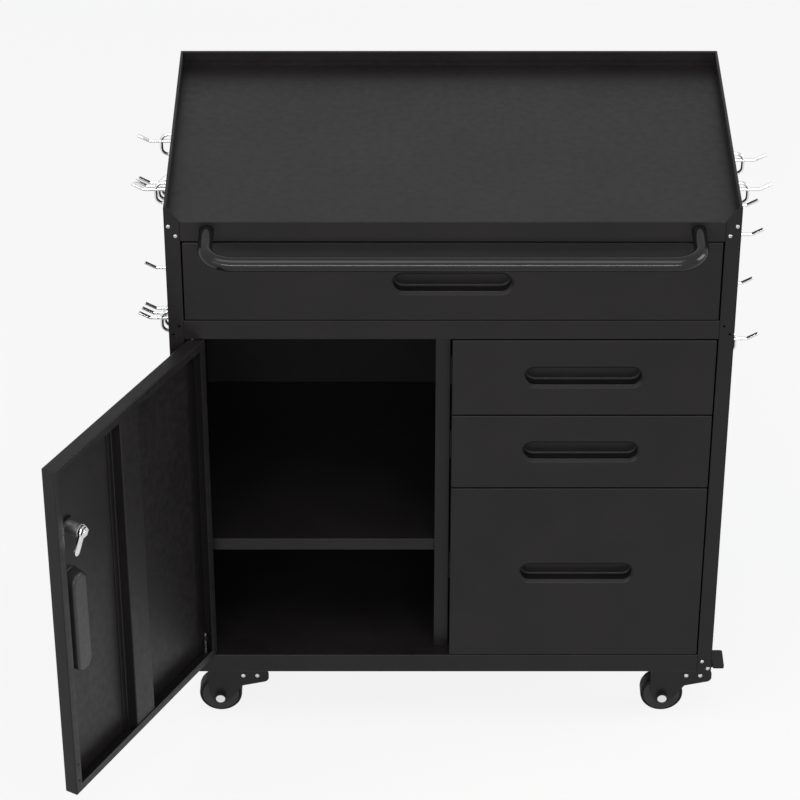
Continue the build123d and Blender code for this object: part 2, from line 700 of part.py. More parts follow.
def upper_pivot():
    """Headed stud in the top flange, turning in the middle rail."""
    stud = rod_z(PIVOT_X, PIVOT_Y, DOOR_TOP - 5, DOOR_TOP + DOOR_GAP + 2.5, PIVOT_D)
    collar = block(PIVOT_X - 5, PIVOT_X + 7, PIVOT_Y - 2.6, PIVOT_Y + 6, DOOR_TOP - SHEET - 2.5, DOOR_TOP - SHEET)
    return stud + collar


def pivot_pin():
    """Lower pin that can be lifted against its spring to take the door off."""
    pin = rod_z(PIVOT_X, PIVOT_Y, DOOR_LOW - DOOR_GAP - 3, DOOR_LOW + 36, LOWER_PIN_D)
    knob = rod_z(PIVOT_X, PIVOT_Y, DOOR_LOW + 33.4, DOOR_LOW + 36, 5.2)
    collar = rod_z(PIVOT_X, PIVOT_Y, DOOR_LOW + SHEET, DOOR_LOW + SHEET + 1.2, 5.2)
    return pin + knob + collar


def pivot_spring():
    """Small coil spring round the lower pin."""
    z0 = DOOR_LOW + 2 * SHEET + SPRING_WIRE / 2
    radius = (SPRING_D - SPRING_WIRE) / 2
    coil = Helix(pitch=2.5, height=SPRING_H, radius=radius)
    start = Plane(origin=coil @ 0, z_dir=coil % 0)
    wire = sweep(start * Circle(SPRING_WIRE / 2), path=coil)
    return Pos(PIVOT_X, PIVOT_Y, z0) * wire


def pivot_bracket():
    """Angle on the hinge-side edge that guides the top of the pin."""
    z0 = DOOR_LOW + 2 * SHEET + SPRING_WIRE + SPRING_H + SEAT_GAP
    x0 = DOOR_LEFT + SHEET
    plate = block(x0, PIVOT_X + 6, FRONT + SHEET, FRONT + 11, z0, z0 + 2)
    foot = block(x0, x0 + 1.5, FRONT + SHEET, FRONT + 11, z0, z0 + 12)
    return plate + foot - rod_z(PIVOT_X, PIVOT_Y, z0 - 1, z0 + 14, LOWER_PIN_D + 2 * SHAFT_GAP)


# Casters, each drawn about its own swivel axis with the body underside at height zero

def bolt_offsets():
    """Bolt places around a caster plate's centre."""
    return [(sx * BOLT_X, sy * BOLT_Y) for sx in (-1, 1) for sy in (-1, 1)]


def swivel_plate():
    """Top plate with its ball race and riveted kingpin."""
    plate = block(-PLATE_L / 2, PLATE_L / 2, -PLATE_W / 2, PLATE_W / 2, -PLATE_T, 0)
    plate = fillet(plate.edges().filter_by(Axis.Z), 6)
    plate += rod_z(0, 0, -PLATE_T - RACE_T, -PLATE_T, RACE_D)
    race_low = -PLATE_T - RACE_T
    fork_low = race_low - RUN_GAP - FORK_T
    plate += rod_z(0, 0, fork_low - RUN_GAP, race_low, KINGPIN_D)
    plate += rod_z(0, 0, fork_low - RUN_GAP - 3, fork_low - RUN_GAP, KINGPIN_D + 8)
    for dx, dy in bolt_offsets():
        plate -= rod_z(dx, dy, -PLATE_T - 1, 1, BOLT_D + 0.4)
    return plate


def rigid_plate():
    """Plain top plate of a fixed caster."""
    plate = block(-PLATE_L / 2, PLATE_L / 2, -PLATE_W / 2, PLATE_W / 2, -PLATE_T, 0)
    plate = fillet(plate.edges().filter_by(Axis.Z), 6)
    for dx, dy in bolt_offsets():
        plate -= rod_z(dx, dy, -PLATE_T - 1, 1, BOLT_D + 0.4)
    return plate


def cheek(points, y0):
    """Fork side plate from its outline in the X-Z plane, corners eased."""
    face = make_face(Polyline(*points, close=True))
    face = fillet([v for v in face.vertices() if v.X < TAIL_X - 0.01], CHEEK_R)
    tail = [v for v in face.vertices() if v.X > TAIL_X - 0.01]
    face = fillet(tail, TAIL_R) if tail else face
    return Pos(0, y0 + FORK_T, 0) * Rot(90, 0, 0) * extrude(face, FORK_T)


def swivel_fork():
    """Swivelling fork whose cheeks run forward to carry the brake."""
    top = -PLATE_T - RACE_T - RUN_GAP
    low = top - FORK_T
    wide = FORK_IN + FORK_T
    outline = [
        (-26, top), (54, top - 6), (TAIL_X, -26), (TAIL_X, -40.6), (23, -49.2),
        (11, AXLE_Z + 2), (0, AXLE_Z - 11), (-18, AXLE_Z - 11), (-26, AXLE_Z + 8),
    ]
    fork = block(-26, 26, -wide, wide, low, top)
    for y0 in (-wide, FORK_IN):
        fork += cheek(outline, y0)
    fork -= rod_z(0, 0, low - 1, top + 1, KINGPIN_D + 2 * SHAFT_GAP)
    fork -= rod_y(-TRAIL, AXLE_Z, -30, 30, AXLE_D + 2 * SHAFT_GAP)
    for x in (RIVET_1_X, RIVET_2_X):
        fork -= rod_y(x, BRAKE_Z, -30, 30, RIVET_D + 2 * SHAFT_GAP)
    return fork


def rigid_fork():
    """Fixed fork, its cheeks square across the cabinet's length."""
    top = -PLATE_T
    wide = FORK_IN + FORK_T
    outline = [
        (-26, top), (26, top), (26, -30), (11, AXLE_Z - 2), (6, AXLE_Z - 11), (-6, AXLE_Z - 11),
        (-11, AXLE_Z - 2), (-26, -30),
    ]
    fork = block(-26, 26, -wide, wide, top - FORK_T, top)
    for y0 in (-wide, FORK_IN):
        fork += cheek(outline, y0)
    return fork - rod_y(0, AXLE_Z, -30, 30, AXLE_D + 2 * SHAFT_GAP)


def wheel(x):
    """Solid tyre and hub with recessed faces and a bore that runs on the axle."""
    half = WHEEL_W / 2
    body = rod_y(x, AXLE_Z, -half, half, WHEEL_D)
    body = fillet(body.edges(), 3.5)
    for y0, y1 in ((-half - 1, -half + RECESS_D), (half - RECESS_D, half + 1)):
        recess = rod_y(x, AXLE_Z, y0, y1, WHEEL_D - 18)
        recess -= rod_y(x, AXLE_Z, y0, y1, 20)
        body -= recess
    for y0, y1 in ((-FORK_IN + RUN_GAP, -half + 1), (half - 1, FORK_IN - RUN_GAP)):
        body += rod_y(x, AXLE_Z, y0, y1, 16)
    return body - rod_y(x, AXLE_Z, -20, 20, AXLE_D + 2 * SHAFT_GAP)


def axle(x):
    """Axle with a round cap outside each fork cheek."""
    wide = FORK_IN + FORK_T
    part = rod_y(x, AXLE_Z, -wide, wide, AXLE_D)
    for y0 in (-wide - CAP_T, wide):
        part += rod_y(x, AXLE_Z, y0, y0 + CAP_T, CAP_D)
    return fillet(part.edges().filter_by(GeomType.CIRCLE).sort_by(Axis.Y)[:1], 1.0)


def brake_rivet(x):
    """Cross rivet with a domed head on each cheek."""
    wide = FORK_IN + FORK_T
    part = rod_y(x, BRAKE_Z, -wide, wide, RIVET_D)
    for y0 in (-wide - 2, wide):
        part += rod_y(x, BRAKE_Z, y0, y0 + 2, RIVET_HEAD_D)
    return part


def brake_nose():
    """Inner end of the pedal, just off the tyre when the pedal is right down."""
    run = RIVET_1_X + TRAIL
    rise = BRAKE_Z - AXLE_Z
    length = hypot(run, rise) - WHEEL_R - NOSE_T / 2 - RUN_GAP
    inner = FORK_IN - 0.4
    bar = block(0, length, -inner, inner, -NOSE_T / 2, NOSE_T / 2) + rod_y(length, 0, -inner, inner, NOSE_T)
    turn = 180 - degrees(atan2(rise, run)) - PEDAL_TRAVEL_DEG
    return Pos(RIVET_1_X, 0, BRAKE_Z) * Rot(0, turn, 0) * bar


def brake_pedal():
    """Foot pedal turning on the inner rivet and reaching over the outer one to its pad."""
    inner = FORK_IN - 0.4
    hub = rod_y(RIVET_1_X, BRAKE_Z, -inner, inner, 11)
    under = PAD_TOP - PAD_T
    end = PAD_X + PAD_L
    over = BRAKE_Z + PEDAL_RISE
    arm = [(RIVET_1_X - 4, BRAKE_Z + 4), (RIVET_1_X + 4, BRAKE_Z - 2), (RIVET_2_X, over), (PAD_X + 4, under - 1.5),
           (end - 2, under - 1), (end - 2, under + 0.5), (PAD_X, under + 0.5), (RIVET_2_X, over + 2 * PAD_T)]
    face = make_face(Polyline(*arm, close=True))
    lever = Pos(0, inner, 0) * Rot(90, 0, 0) * extrude(face, 2 * inner)
    pad = block(PAD_X, end, -PAD_W / 2, PAD_W / 2, under, PAD_TOP)
    pad = fillet(pad.edges().filter_by(Axis.Z), PAD_T)
    return hub + lever + pad + brake_nose() - rod_y(RIVET_1_X, BRAKE_Z, -30, 30, RIVET_D + 2 * SHAFT_GAP)


def caster_bolt(dx, dy):
    """Bolt through plate and channel with its nut."""
    shank = rod_z(dx, dy, -PLATE_T, CHANNEL_T + 8, BOLT_D)
    head = Pos(dx, dy, -PLATE_T - 4) * extrude(RegularPolygon(5.0, 6, major_radius=False), 4)
    nut = Pos(dx, dy, CHANNEL_T) * extrude(RegularPolygon(5.0, 6, major_radius=False), 5)
    return shank + head + nut


def at_front(side, shape):
    """Place a front caster piece."""
    return Pos(side * CASTER_X, CASTER_YS[0], BASE) * shape


def at_rear(side, shape):
    """Place a rear caster piece, its axle across the cabinet."""
    return Pos(side * CASTER_X, CASTER_YS[1], BASE) * Rot(0, 0, 90) * shape


def build():
    """Make and write every node."""
    for side, name in ((-1, "left"), (1, "right")):
        save(f"side_frame_{name}", side_frame(side))
        save(f"side_skin_{name}", side_skin(side))
    save("back_panel", back_panel())
    save("top_panel", top_panel())
    save("mid_deck", mid_deck())
    save("bottom_pan", bottom_pan())
    save("base_channels", base_channels())
    save("divider_panel", divider_panel())
    save("compartment_shelf", compartment_shelf())
    save("push_handle", push_handle())
    save("frame_screws", frame_screws())
    save("peg_hooks_left", hooks(-1, HOOKS_LEFT))
    save("peg_hooks_right", hooks(1, HOOKS_RIGHT))
    for d in DRAWERS:
        save(f"{d.name}_front", drawer_front(d))
        save(f"{d.name}_cup", handle_cup(d.cup_x, d.cup_z))
        save(f"{d.name}_box", drawer_box(d))
        save(f"{d.name}_runners", runners(d))
        save(f"{d.name}_wall_rails", wall_rails(d))
    save("door_shell", swing(door_shell()))
    save("door_stiffener", swing(door_stiffener()))
    save("door_cup", swing(handle_cup(DOOR_CUP_X, BASE + DOOR_CUP_Z, upright=True)))
    save("lock_barrel", swing(lock_barrel() + lock_nut()))
    save("lock_plug", swing(lock_plug()))
    save("lock_cam", swing(lock_cam()))
    save("door_upper_pivot", swing(upper_pivot()))
    save("door_pivot_pin", swing(pivot_pin()))
    save("door_pivot_spring", swing(pivot_spring()))
    save("door_pivot_bracket", swing(pivot_bracket()))
    for side, name in ((-1, "left"), (1, "right")):
        save(f"front_fork_{name}", at_front(side, swivel_fork()))
        save(f"front_wheel_{name}", at_front(side, wheel(-TRAIL)))
        pins = [axle(-TRAIL), brake_rivet(RIVET_1_X), brake_rivet(RIVET_2_X)]
        save(f"front_pins_{name}", at_front(side, group(pins)))
        save(f"brake_pedal_{name}", at_front(side, brake_pedal()))
        save(f"rear_wheel_{name}", at_rear(side, wheel(0)))
    save("front_caster_plates", group([at_front(s, swivel_plate()) for s in (-1, 1)]))
    save("rear_caster_plates", group([at_rear(s, rigid_plate()) for s in (-1, 1)]))
    save("rear_forks", group([at_rear(s, rigid_fork()) for s in (-1, 1)]))
    save("rear_axles", group([at_rear(s, axle(0)) for s in (-1, 1)]))
    bolts = []
    for side in (-1, 1):
        for dx, dy in bolt_offsets():
            bolts.append(at_front(side, caster_bolt(dx, dy)))
            bolts.append(at_rear(side, caster_bolt(dx, dy)))
    save("caster_bolts", group(bolts))


os.makedirs("parts", exist_ok=True)
build()
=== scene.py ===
# %% [markdown]
# # A rolling tool cabinet, dressed in Blender
# The cabinet is folded sheet steel: a tray top with a push handle, one wide drawer, three drawers on the
# right, an open door with a cam lock on the left, perforated sides with wire hooks and four casters.
# The CAD model already holds every size. This lesson loads it as a fixed frame, repaints the pieces whose
# shape is right, and models again the ones that need softer edges, rounder wire or finer heads.

# %% Load the frame
import json
from math import atan2, cos, pi, radians, sin

import bmesh
import bpy
from mathutils import Matrix, Vector


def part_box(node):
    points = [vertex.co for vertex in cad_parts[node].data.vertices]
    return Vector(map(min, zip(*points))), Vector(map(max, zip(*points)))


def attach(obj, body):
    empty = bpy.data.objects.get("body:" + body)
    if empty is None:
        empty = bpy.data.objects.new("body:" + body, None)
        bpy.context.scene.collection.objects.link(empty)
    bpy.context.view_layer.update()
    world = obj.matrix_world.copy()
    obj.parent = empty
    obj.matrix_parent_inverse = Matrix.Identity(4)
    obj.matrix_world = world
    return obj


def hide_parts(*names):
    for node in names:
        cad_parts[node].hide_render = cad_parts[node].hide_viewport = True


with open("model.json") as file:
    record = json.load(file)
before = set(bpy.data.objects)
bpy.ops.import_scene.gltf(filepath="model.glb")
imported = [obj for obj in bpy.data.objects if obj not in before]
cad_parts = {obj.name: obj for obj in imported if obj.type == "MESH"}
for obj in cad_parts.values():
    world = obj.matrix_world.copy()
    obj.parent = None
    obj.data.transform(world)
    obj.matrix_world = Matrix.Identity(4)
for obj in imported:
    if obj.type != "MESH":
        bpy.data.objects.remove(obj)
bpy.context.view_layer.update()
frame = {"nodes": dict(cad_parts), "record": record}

MM = 0.001
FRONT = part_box("drawer_2_front")[0].y
print("front plane at y =", round(FRONT, 4))

# %% [markdown]
# ## Finishes
# Powder coat is a baked plastic film. From a step away it is an even satin black, close up it has a fine
# orange-peel skin, slightly cloudy gloss and a little dust. All of that comes from noise on Object
# coordinates, which are metres here, so a scale of 700 means a grain of about 1.4 mm. Constants such as the
# specular level are set straight on the shader, because the export drops them when they come through a node.

# %% A starting point for every finish
def new_finish(name, color, roughness, metallic=0.0):
    """A material with one principled shader; returns the material, its node tree and the shader."""
    finish = bpy.data.materials.new(name)
    finish.use_nodes = True
    tree = finish.node_tree
    shader = tree.nodes["Principled BSDF"]
    shader.inputs["Base Color"].default_value = (*color, 1.0)
    shader.inputs["Roughness"].default_value = roughness
    shader.inputs["Metallic"].default_value = metallic
    return finish, tree, shader


def noise(tree, scale, detail):
    """Noise on Object coordinates."""
    place = tree.nodes.new("ShaderNodeTexCoord")
    cloud = tree.nodes.new("ShaderNodeTexNoise")
    cloud.inputs["Scale"].default_value = scale
    cloud.inputs["Detail"].default_value = detail
    tree.links.new(place.outputs["Object"], cloud.inputs["Vector"])
    return cloud.outputs["Fac"]


def between(tree, factor, low, high, start=0.35, stop=0.65):
    """A colour or a value that runs from low to high with the factor."""
    if isinstance(low, tuple):
        ramp = tree.nodes.new("ShaderNodeValToRGB")
        ramp.color_ramp.elements[0].position = start
        ramp.color_ramp.elements[0].color = (*low, 1.0)
        ramp.color_ramp.elements[1].position = stop
        ramp.color_ramp.elements[1].color = (*high, 1.0)
        tree.links.new(factor, ramp.inputs["Fac"])
        return ramp.outputs["Color"]
    spread = tree.nodes.new("ShaderNodeMapRange")
    spread.inputs["From Min"].default_value = start
    spread.inputs["From Max"].default_value = stop
    spread.inputs["To Min"].default_value = low
    spread.inputs["To Max"].default_value = high
    tree.links.new(factor, spread.inputs["Value"])
    return spread.outputs["Result"]


def bumps(tree, shader, height, strength, depth):
    """Relief of a given depth in metres from a height value."""
    relief = tree.nodes.new("ShaderNodeBump")
    relief.inputs["Strength"].default_value = strength
    relief.inputs["Distance"].default_value = depth
    tree.links.new(height, relief.inputs["Height"])
    tree.links.new(relief.outputs["Normal"], shader.inputs["Normal"])


# %% [markdown]
# The powder coat gets three scales of noise: clouds of about 10 cm in its colour, patches of 1 cm in its
# gloss, and the orange peel of 1 to 2 mm as relief. A single flat colour would look like a drawing, and a
# picture of paint would not follow the folds, so noise is the better choice.

# %% Powder coat
CLOUDS, PATCHES, PEEL = 9.0, 95.0, 620.0


def powder_coat(name, dark, light, rough_low, rough_high, level):
    """Baked film: clouds in the colour, patches in the gloss, orange peel as relief."""
    finish, tree, shader = new_finish(name, light, 0.45)
    tree.links.new(between(tree, noise(tree, CLOUDS, 4.0), dark, light), shader.inputs["Base Color"])
    tree.links.new(between(tree, noise(tree, PATCHES, 5.0), rough_low, rough_high),
                   shader.inputs["Roughness"])
    bumps(tree, shader, noise(tree, PEEL, 2.0), 0.22, 0.00006)
    shader.inputs["Specular IOR Level"].default_value = level
    return finish


BLACK = powder_coat("satin_black_powder_coat", (0.0100, 0.0086, 0.0090), (0.0132, 0.0114, 0.0119),
                    0.36, 0.46, level=0.21)
print(BLACK.name, "made")

# %% [markdown]
# Bright wire is nickel-chrome plated: a mirror with slightly uneven gloss. Zinc plate is duller and shows
# pale spangles, which a Voronoi pattern gives better than noise, because its cells have sharp borders. The
# axle caps and the lock body are pale turned metal, and the small coil spring is blued steel.

# %% Plated metals
def plated(name, color, rough_low, rough_high, grain=260.0):
    """Polished metal with a grain in its colour, its gloss and its relief."""
    finish, tree, shader = new_finish(name, color, rough_low, metallic=1.0)
    low = tuple(c * 0.86 for c in color)
    tree.links.new(between(tree, noise(tree, grain, 4.0), low, color), shader.inputs["Base Color"])
    tree.links.new(between(tree, noise(tree, grain * 0.4, 4.0), rough_low, rough_high),
                   shader.inputs["Roughness"])
    bumps(tree, shader, noise(tree, grain * 3.0, 2.0), 0.15, 0.00002)
    return finish


def spangled(name, color, rough):
    """Zinc plate: every cell of a Voronoi pattern has its own grey and its own gloss."""
    finish, tree, shader = new_finish(name, color, rough, metallic=1.0)
    place = tree.nodes.new("ShaderNodeTexCoord")
    flakes = tree.nodes.new("ShaderNodeTexVoronoi")
    flakes.inputs["Scale"].default_value = 240.0
    tree.links.new(place.outputs["Object"], flakes.inputs["Vector"])
    grey = tree.nodes.new("ShaderNodeRGBToBW")
    tree.links.new(flakes.outputs["Color"], grey.inputs["Color"])
    low = tuple(c * 0.8 for c in color)
    tree.links.new(between(tree, grey.outputs["Val"], low, color, 0.2, 0.8), shader.inputs["Base Color"])
    tree.links.new(between(tree, grey.outputs["Val"], rough - 0.06, rough + 0.1, 0.2, 0.8),
                   shader.inputs["Roughness"])
    bumps(tree, shader, noise(tree, 900.0, 2.0), 0.12, 0.00003)
    return finish


CHROME = plated("bright_chrome_plate", (0.78, 0.78, 0.79), 0.10, 0.20)
ZINC = spangled("zinc_plate", (0.60, 0.61, 0.63), 0.34)
CAP_METAL = plated("pale_axle_cap", (0.80, 0.79, 0.78), 0.30, 0.42, grain=420.0)
DARK_STEEL = plated("blued_spring_steel", (0.16, 0.155, 0.15), 0.28, 0.40, grain=500.0)
print("plated finishes made")

# %% [markdown]
# Tyres, hubs and the cup of the door are moulded: no metal, a broad soft gloss, a fine matt grain and dust in
# patches. One function makes all three, and only the numbers differ.

# %% Moulded rubber and plastic
def moulded(name, dark, light, rough_low, rough_high, level):
    """Rubber or plastic out of a mould, with a matt grain."""
    finish, tree, shader = new_finish(name, dark, rough_low)
    tree.links.new(between(tree, noise(tree, 60.0, 5.0), dark, light), shader.inputs["Base Color"])
    tree.links.new(between(tree, noise(tree, 180.0, 3.0), rough_low, rough_high), shader.inputs["Roughness"])
    bumps(tree, shader, noise(tree, 1400.0, 2.0), 0.3, 0.00005)
    shader.inputs["Specular IOR Level"].default_value = level
    return finish


# The tyre colour is black rubber, made darker still as painted shade: it stands for the shadow that the
# cabinet casts on the top of the tread.
RUBBER_WITH_PAINTED_SHADE = moulded("black_wheel_rubber_with_painted_shade", (0.003, 0.003, 0.003), (0.006, 0.0055, 0.0055),
                 0.50, 0.68, level=0.15)
HUB = moulded("black_hub_moulding", (0.017, 0.016, 0.016), (0.024, 0.0225, 0.0225),
              0.38, 0.50, level=0.3)
CUP_PLASTIC = moulded("black_cup_moulding", (0.024, 0.022, 0.0225), (0.032, 0.030, 0.030),
                      0.36, 0.46, level=0.4)
print("moulded finishes made")

# %% [markdown]
# The handle has the same coat, baked glossier. A plain shader would turn the rims of the tube bright, where
# one looks along its surface, but on the real tube they mirror the dark front behind it. A Layer Weight node
# knows how far a surface turns away, so here it takes the specular level down toward the rims.

# %% Glossy coat of the handle
GRIP = powder_coat("glossy_black_grip", (0.0085, 0.0080, 0.0082), (0.0105, 0.0100, 0.0102),
                   0.15, 0.19, level=0.27)
grip_tree = GRIP.node_tree
rim = grip_tree.nodes.new("ShaderNodeLayerWeight")
rim.inputs["Blend"].default_value = 0.5
grip_level = between(grip_tree, rim.outputs["Facing"], 0.36, 0.0, start=0.0, stop=0.85)
grip_tree.links.new(grip_level, grip_tree.nodes["Principled BSDF"].inputs["Specular IOR Level"])
print(GRIP.name, "made")

# %% [markdown]
# ## Repaint the CAD pieces
# Every CAD node gets the finish of its slot first. Pieces that are modelled again below replace theirs, and
# small hidden parts such as bolts and slides stay as they are, because their CAD shape is good enough. Only
# the coil spring of the door pin leaves its slot's finish: it is blued, not zinc plated.

# %% Repaint every node by slot
SLOT_FINISH = {"black_paint": BLACK, "chrome_steel": CHROME, "zinc_steel": ZINC, "wheel_rubber": RUBBER_WITH_PAINTED_SHADE}
slot_of = {entry["node"]: entry["material_slot"] for entry in frame["record"]["subparts"]}
for node, obj in frame["nodes"].items():
    for holder in obj.material_slots:
        holder.material = SLOT_FINISH[slot_of[node]]
for holder in frame["nodes"]["door_pivot_spring"].material_slots:
    holder.material = DARK_STEEL
print(len(slot_of), "nodes repainted")

# %% [markdown]
# ## From a bmesh to a piece
# Each new piece ends the same way: its bmesh becomes an object at the origin, smooth up to a given angle,
# painted, riding on a body and standing for its CAD node. A Weighted Normal modifier keeps large flat
# faces flat beside their small round edges.

# %% Finish a piece
def finish_piece(name, bm, finish, body, *nodes, slot=None, gauge=0.0, angle=40.0):
    """Object from a bmesh; a gauge in metres turns a skin into sheet, an angle keeps edges sharp."""
    mesh = bpy.data.meshes.new(name)
    bm.normal_update()
    bm.to_mesh(mesh)
    bm.free()
    mesh.materials.append(finish)
    mesh.polygons.foreach_set("use_smooth", [True] * len(mesh.polygons))
    mesh.set_sharp_from_angle(angle=radians(angle))
    piece = bpy.data.objects.new(name, mesh)
    bpy.context.scene.collection.objects.link(piece)
    if gauge:
        wall = piece.modifiers.new("gauge", "SOLIDIFY")
        wall.thickness = gauge
        wall.offset = -1.0
        wall.use_even_offset = True
    flat = piece.modifiers.new("flat faces", "WEIGHTED_NORMAL")
    flat.keep_sharp = True
    flat.weight = 60
    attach(piece, body)
    if nodes:
        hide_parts(*nodes)
    return piece


# %% [markdown]
# ## Folded panels with eased edges
# A press brake leaves a bend of about one sheet thickness, and powder coat rounds even a cut edge. The flat
# panels already have the right shape in CAD, so a copy of each is merged, its triangles are dissolved back
# into flat faces, and its edges are bevelled: wide where two large faces meet in a bend, narrow elsewhere.
# Drawing the panels again would only repeat what the CAD knows.

# %% Ease the edges of a copied panel
FOLD_R, CUT_R, FORGED_R = 1.3 * MM, 0.35 * MM, 0.4 * MM
CREASE = radians(30.0)


def body_of(node):
    """The moving body that a node belongs to."""
    return next(name for name, members in frame["record"]["behaviour"]["bodies"].items() if node in members)


def width_of(face):
    """Area over half the perimeter: about the short side of a long strip."""
    around = sum(edge.calc_length() for edge in face.edges)
    return 2.0 * face.calc_area() / around if around else 0.0


def creased(edge, least):
    """True where two faces meet in a convex edge that is sharper than an angle."""
    return len(edge.link_faces) == 2 and edge.is_convex and edge.calc_face_angle() > least


def eased_panel(node, bend, edge):
    """Copy of a CAD node with rounded bends and edges."""
    bm = bmesh.new()
    bm.from_mesh(frame["nodes"][node].data)
    bmesh.ops.remove_doubles(bm, verts=bm.verts, dist=2e-6)
    bmesh.ops.dissolve_limit(bm, angle_limit=radians(0.6), verts=bm.verts, edges=bm.edges)
    bends = [e for e in bm.edges if creased(e, CREASE) and e.calc_length() > 40 * MM
             and min(width_of(f) for f in e.link_faces) > 4 * MM]
    if bends and bend > edge:
        bmesh.ops.bevel(bm, geom=bends, offset=bend, segments=3, profile=0.5, affect="EDGES",
                        clamp_overlap=False, material=-1)
    rest = [e for e in bm.edges if creased(e, 1.5 * CREASE)]
    bmesh.ops.bevel(bm, geom=rest, offset=edge, segments=2, profile=0.5, affect="EDGES",
                    clamp_overlap=True, material=-1)
    finish_piece(node + "_eased", bm, SLOT_FINISH[slot_of[node]], body_of(node), node, angle=12.0)


PANELS = ["side_frame_left", "side_frame_right", "back_panel", "top_panel",
          "mid_deck", "bottom_pan", "divider_panel", "compartment_shelf", "base_channels"]
for node in PANELS:
    eased_panel(node, bend=FOLD_R, edge=CUT_R)
SMALL_SHEETS = ["front_fork_left", "front_fork_right", "rear_forks", "front_caster_plates",
                "rear_caster_plates", "brake_pedal_left", "brake_pedal_right", "drawer_1_box",
                "drawer_2_box", "drawer_3_box", "drawer_4_box", "door_pivot_bracket"]
for node in SMALL_SHEETS:
    eased_panel(node, bend=0.0, edge=FORGED_R)
print(len(PANELS) + len(SMALL_SHEETS), "panels, forks, pedals and boxes eased")

# %% [markdown]
# ## Perforated sides
# Each side is one sheet with 14 by 28 round holes on a 25.4 mm grid. One square cell with its hole is made
# from two loops bridged together, then copied along a row and up the side. The borders are pulled out from
# the edge of that field, the top edge turns over into a hem, and Solidify gives the sheet its 1.2 mm.

# %% One cell with a round hole
PITCH = 25.4 * MM
SHEET = 1.2 * MM
SIDE_X = 375.0 * MM
HOLE_R = 3.5 * MM
HOLES_DEEP, HOLES_HIGH = 14, 28
FIELD_BACK, FIELD_DOWN = 50.8 * MM, 34.0 * MM
FIRST_Y = FRONT + FIELD_BACK
TOP_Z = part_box("back_panel")[1].z
FIRST_Z = TOP_Z - FIELD_DOWN - (HOLES_HIGH - 1) * PITCH


def peg_cell(bm):
    """Twelve quads between a hole and the square around it, flat at the origin."""
    hole = bmesh.ops.create_circle(bm, segments=12, radius=HOLE_R)["verts"]
    rim = bmesh.ops.create_circle(bm, segments=12, radius=PITCH)["verts"]
    bmesh.ops.rotate(bm, verts=hole + rim, matrix=Matrix.Rotation(pi / 12, 3, "Z"))
    for vert in rim:
        big = max(abs(vert.co.x), abs(vert.co.y))
        third = [round(c / big * 3.0) / 3.0 if abs(c) > 0.9 * big else (1 if c > 0 else -1) / 3.0
                 for c in vert.co[:2]]
        vert.co = Vector((third[0], third[1], 0.0)) * PITCH / 2
    bmesh.ops.bridge_loops(bm, edges=bm.edges[:])


print(HOLES_DEEP * HOLES_HIGH, "holes to a side, first at", round(FIRST_Y, 4), round(FIRST_Z, 4))

# %% [markdown]
# A punching machine repeats one tool. An Array modifier could do the same, but the borders and the hem are
# pulled out of the finished field, so the copies are made in the bmesh and merged where they meet.

# %% Copy the cell into a field
def repeat(bm, count, step):
    """Copies of everything in the bmesh, one step apart."""
    first = bm.verts[:] + bm.edges[:] + bm.faces[:]
    for number in range(1, count):
        copy = bmesh.ops.duplicate(bm, geom=first)["geom"]
        moved = [g for g in copy if isinstance(g, bmesh.types.BMVert)]
        bmesh.ops.translate(bm, verts=moved, vec=Vector(step) * number)
    bmesh.ops.remove_doubles(bm, verts=bm.verts, dist=0.02 * MM)


# %% [markdown]
# The sheet ends in plain borders: wide at the front and the back, narrow below. At the top it is folded over
# inward and down again, which stiffens it and hides the raw edge. Two extrusions of the top edge make that
# hem, and a bevel rounds its folds.

# %% Borders and hem of one side
HEM_IN, HEM_DOWN, HEM_END = 3.8 * MM, 14.0 * MM, 1.4 * MM


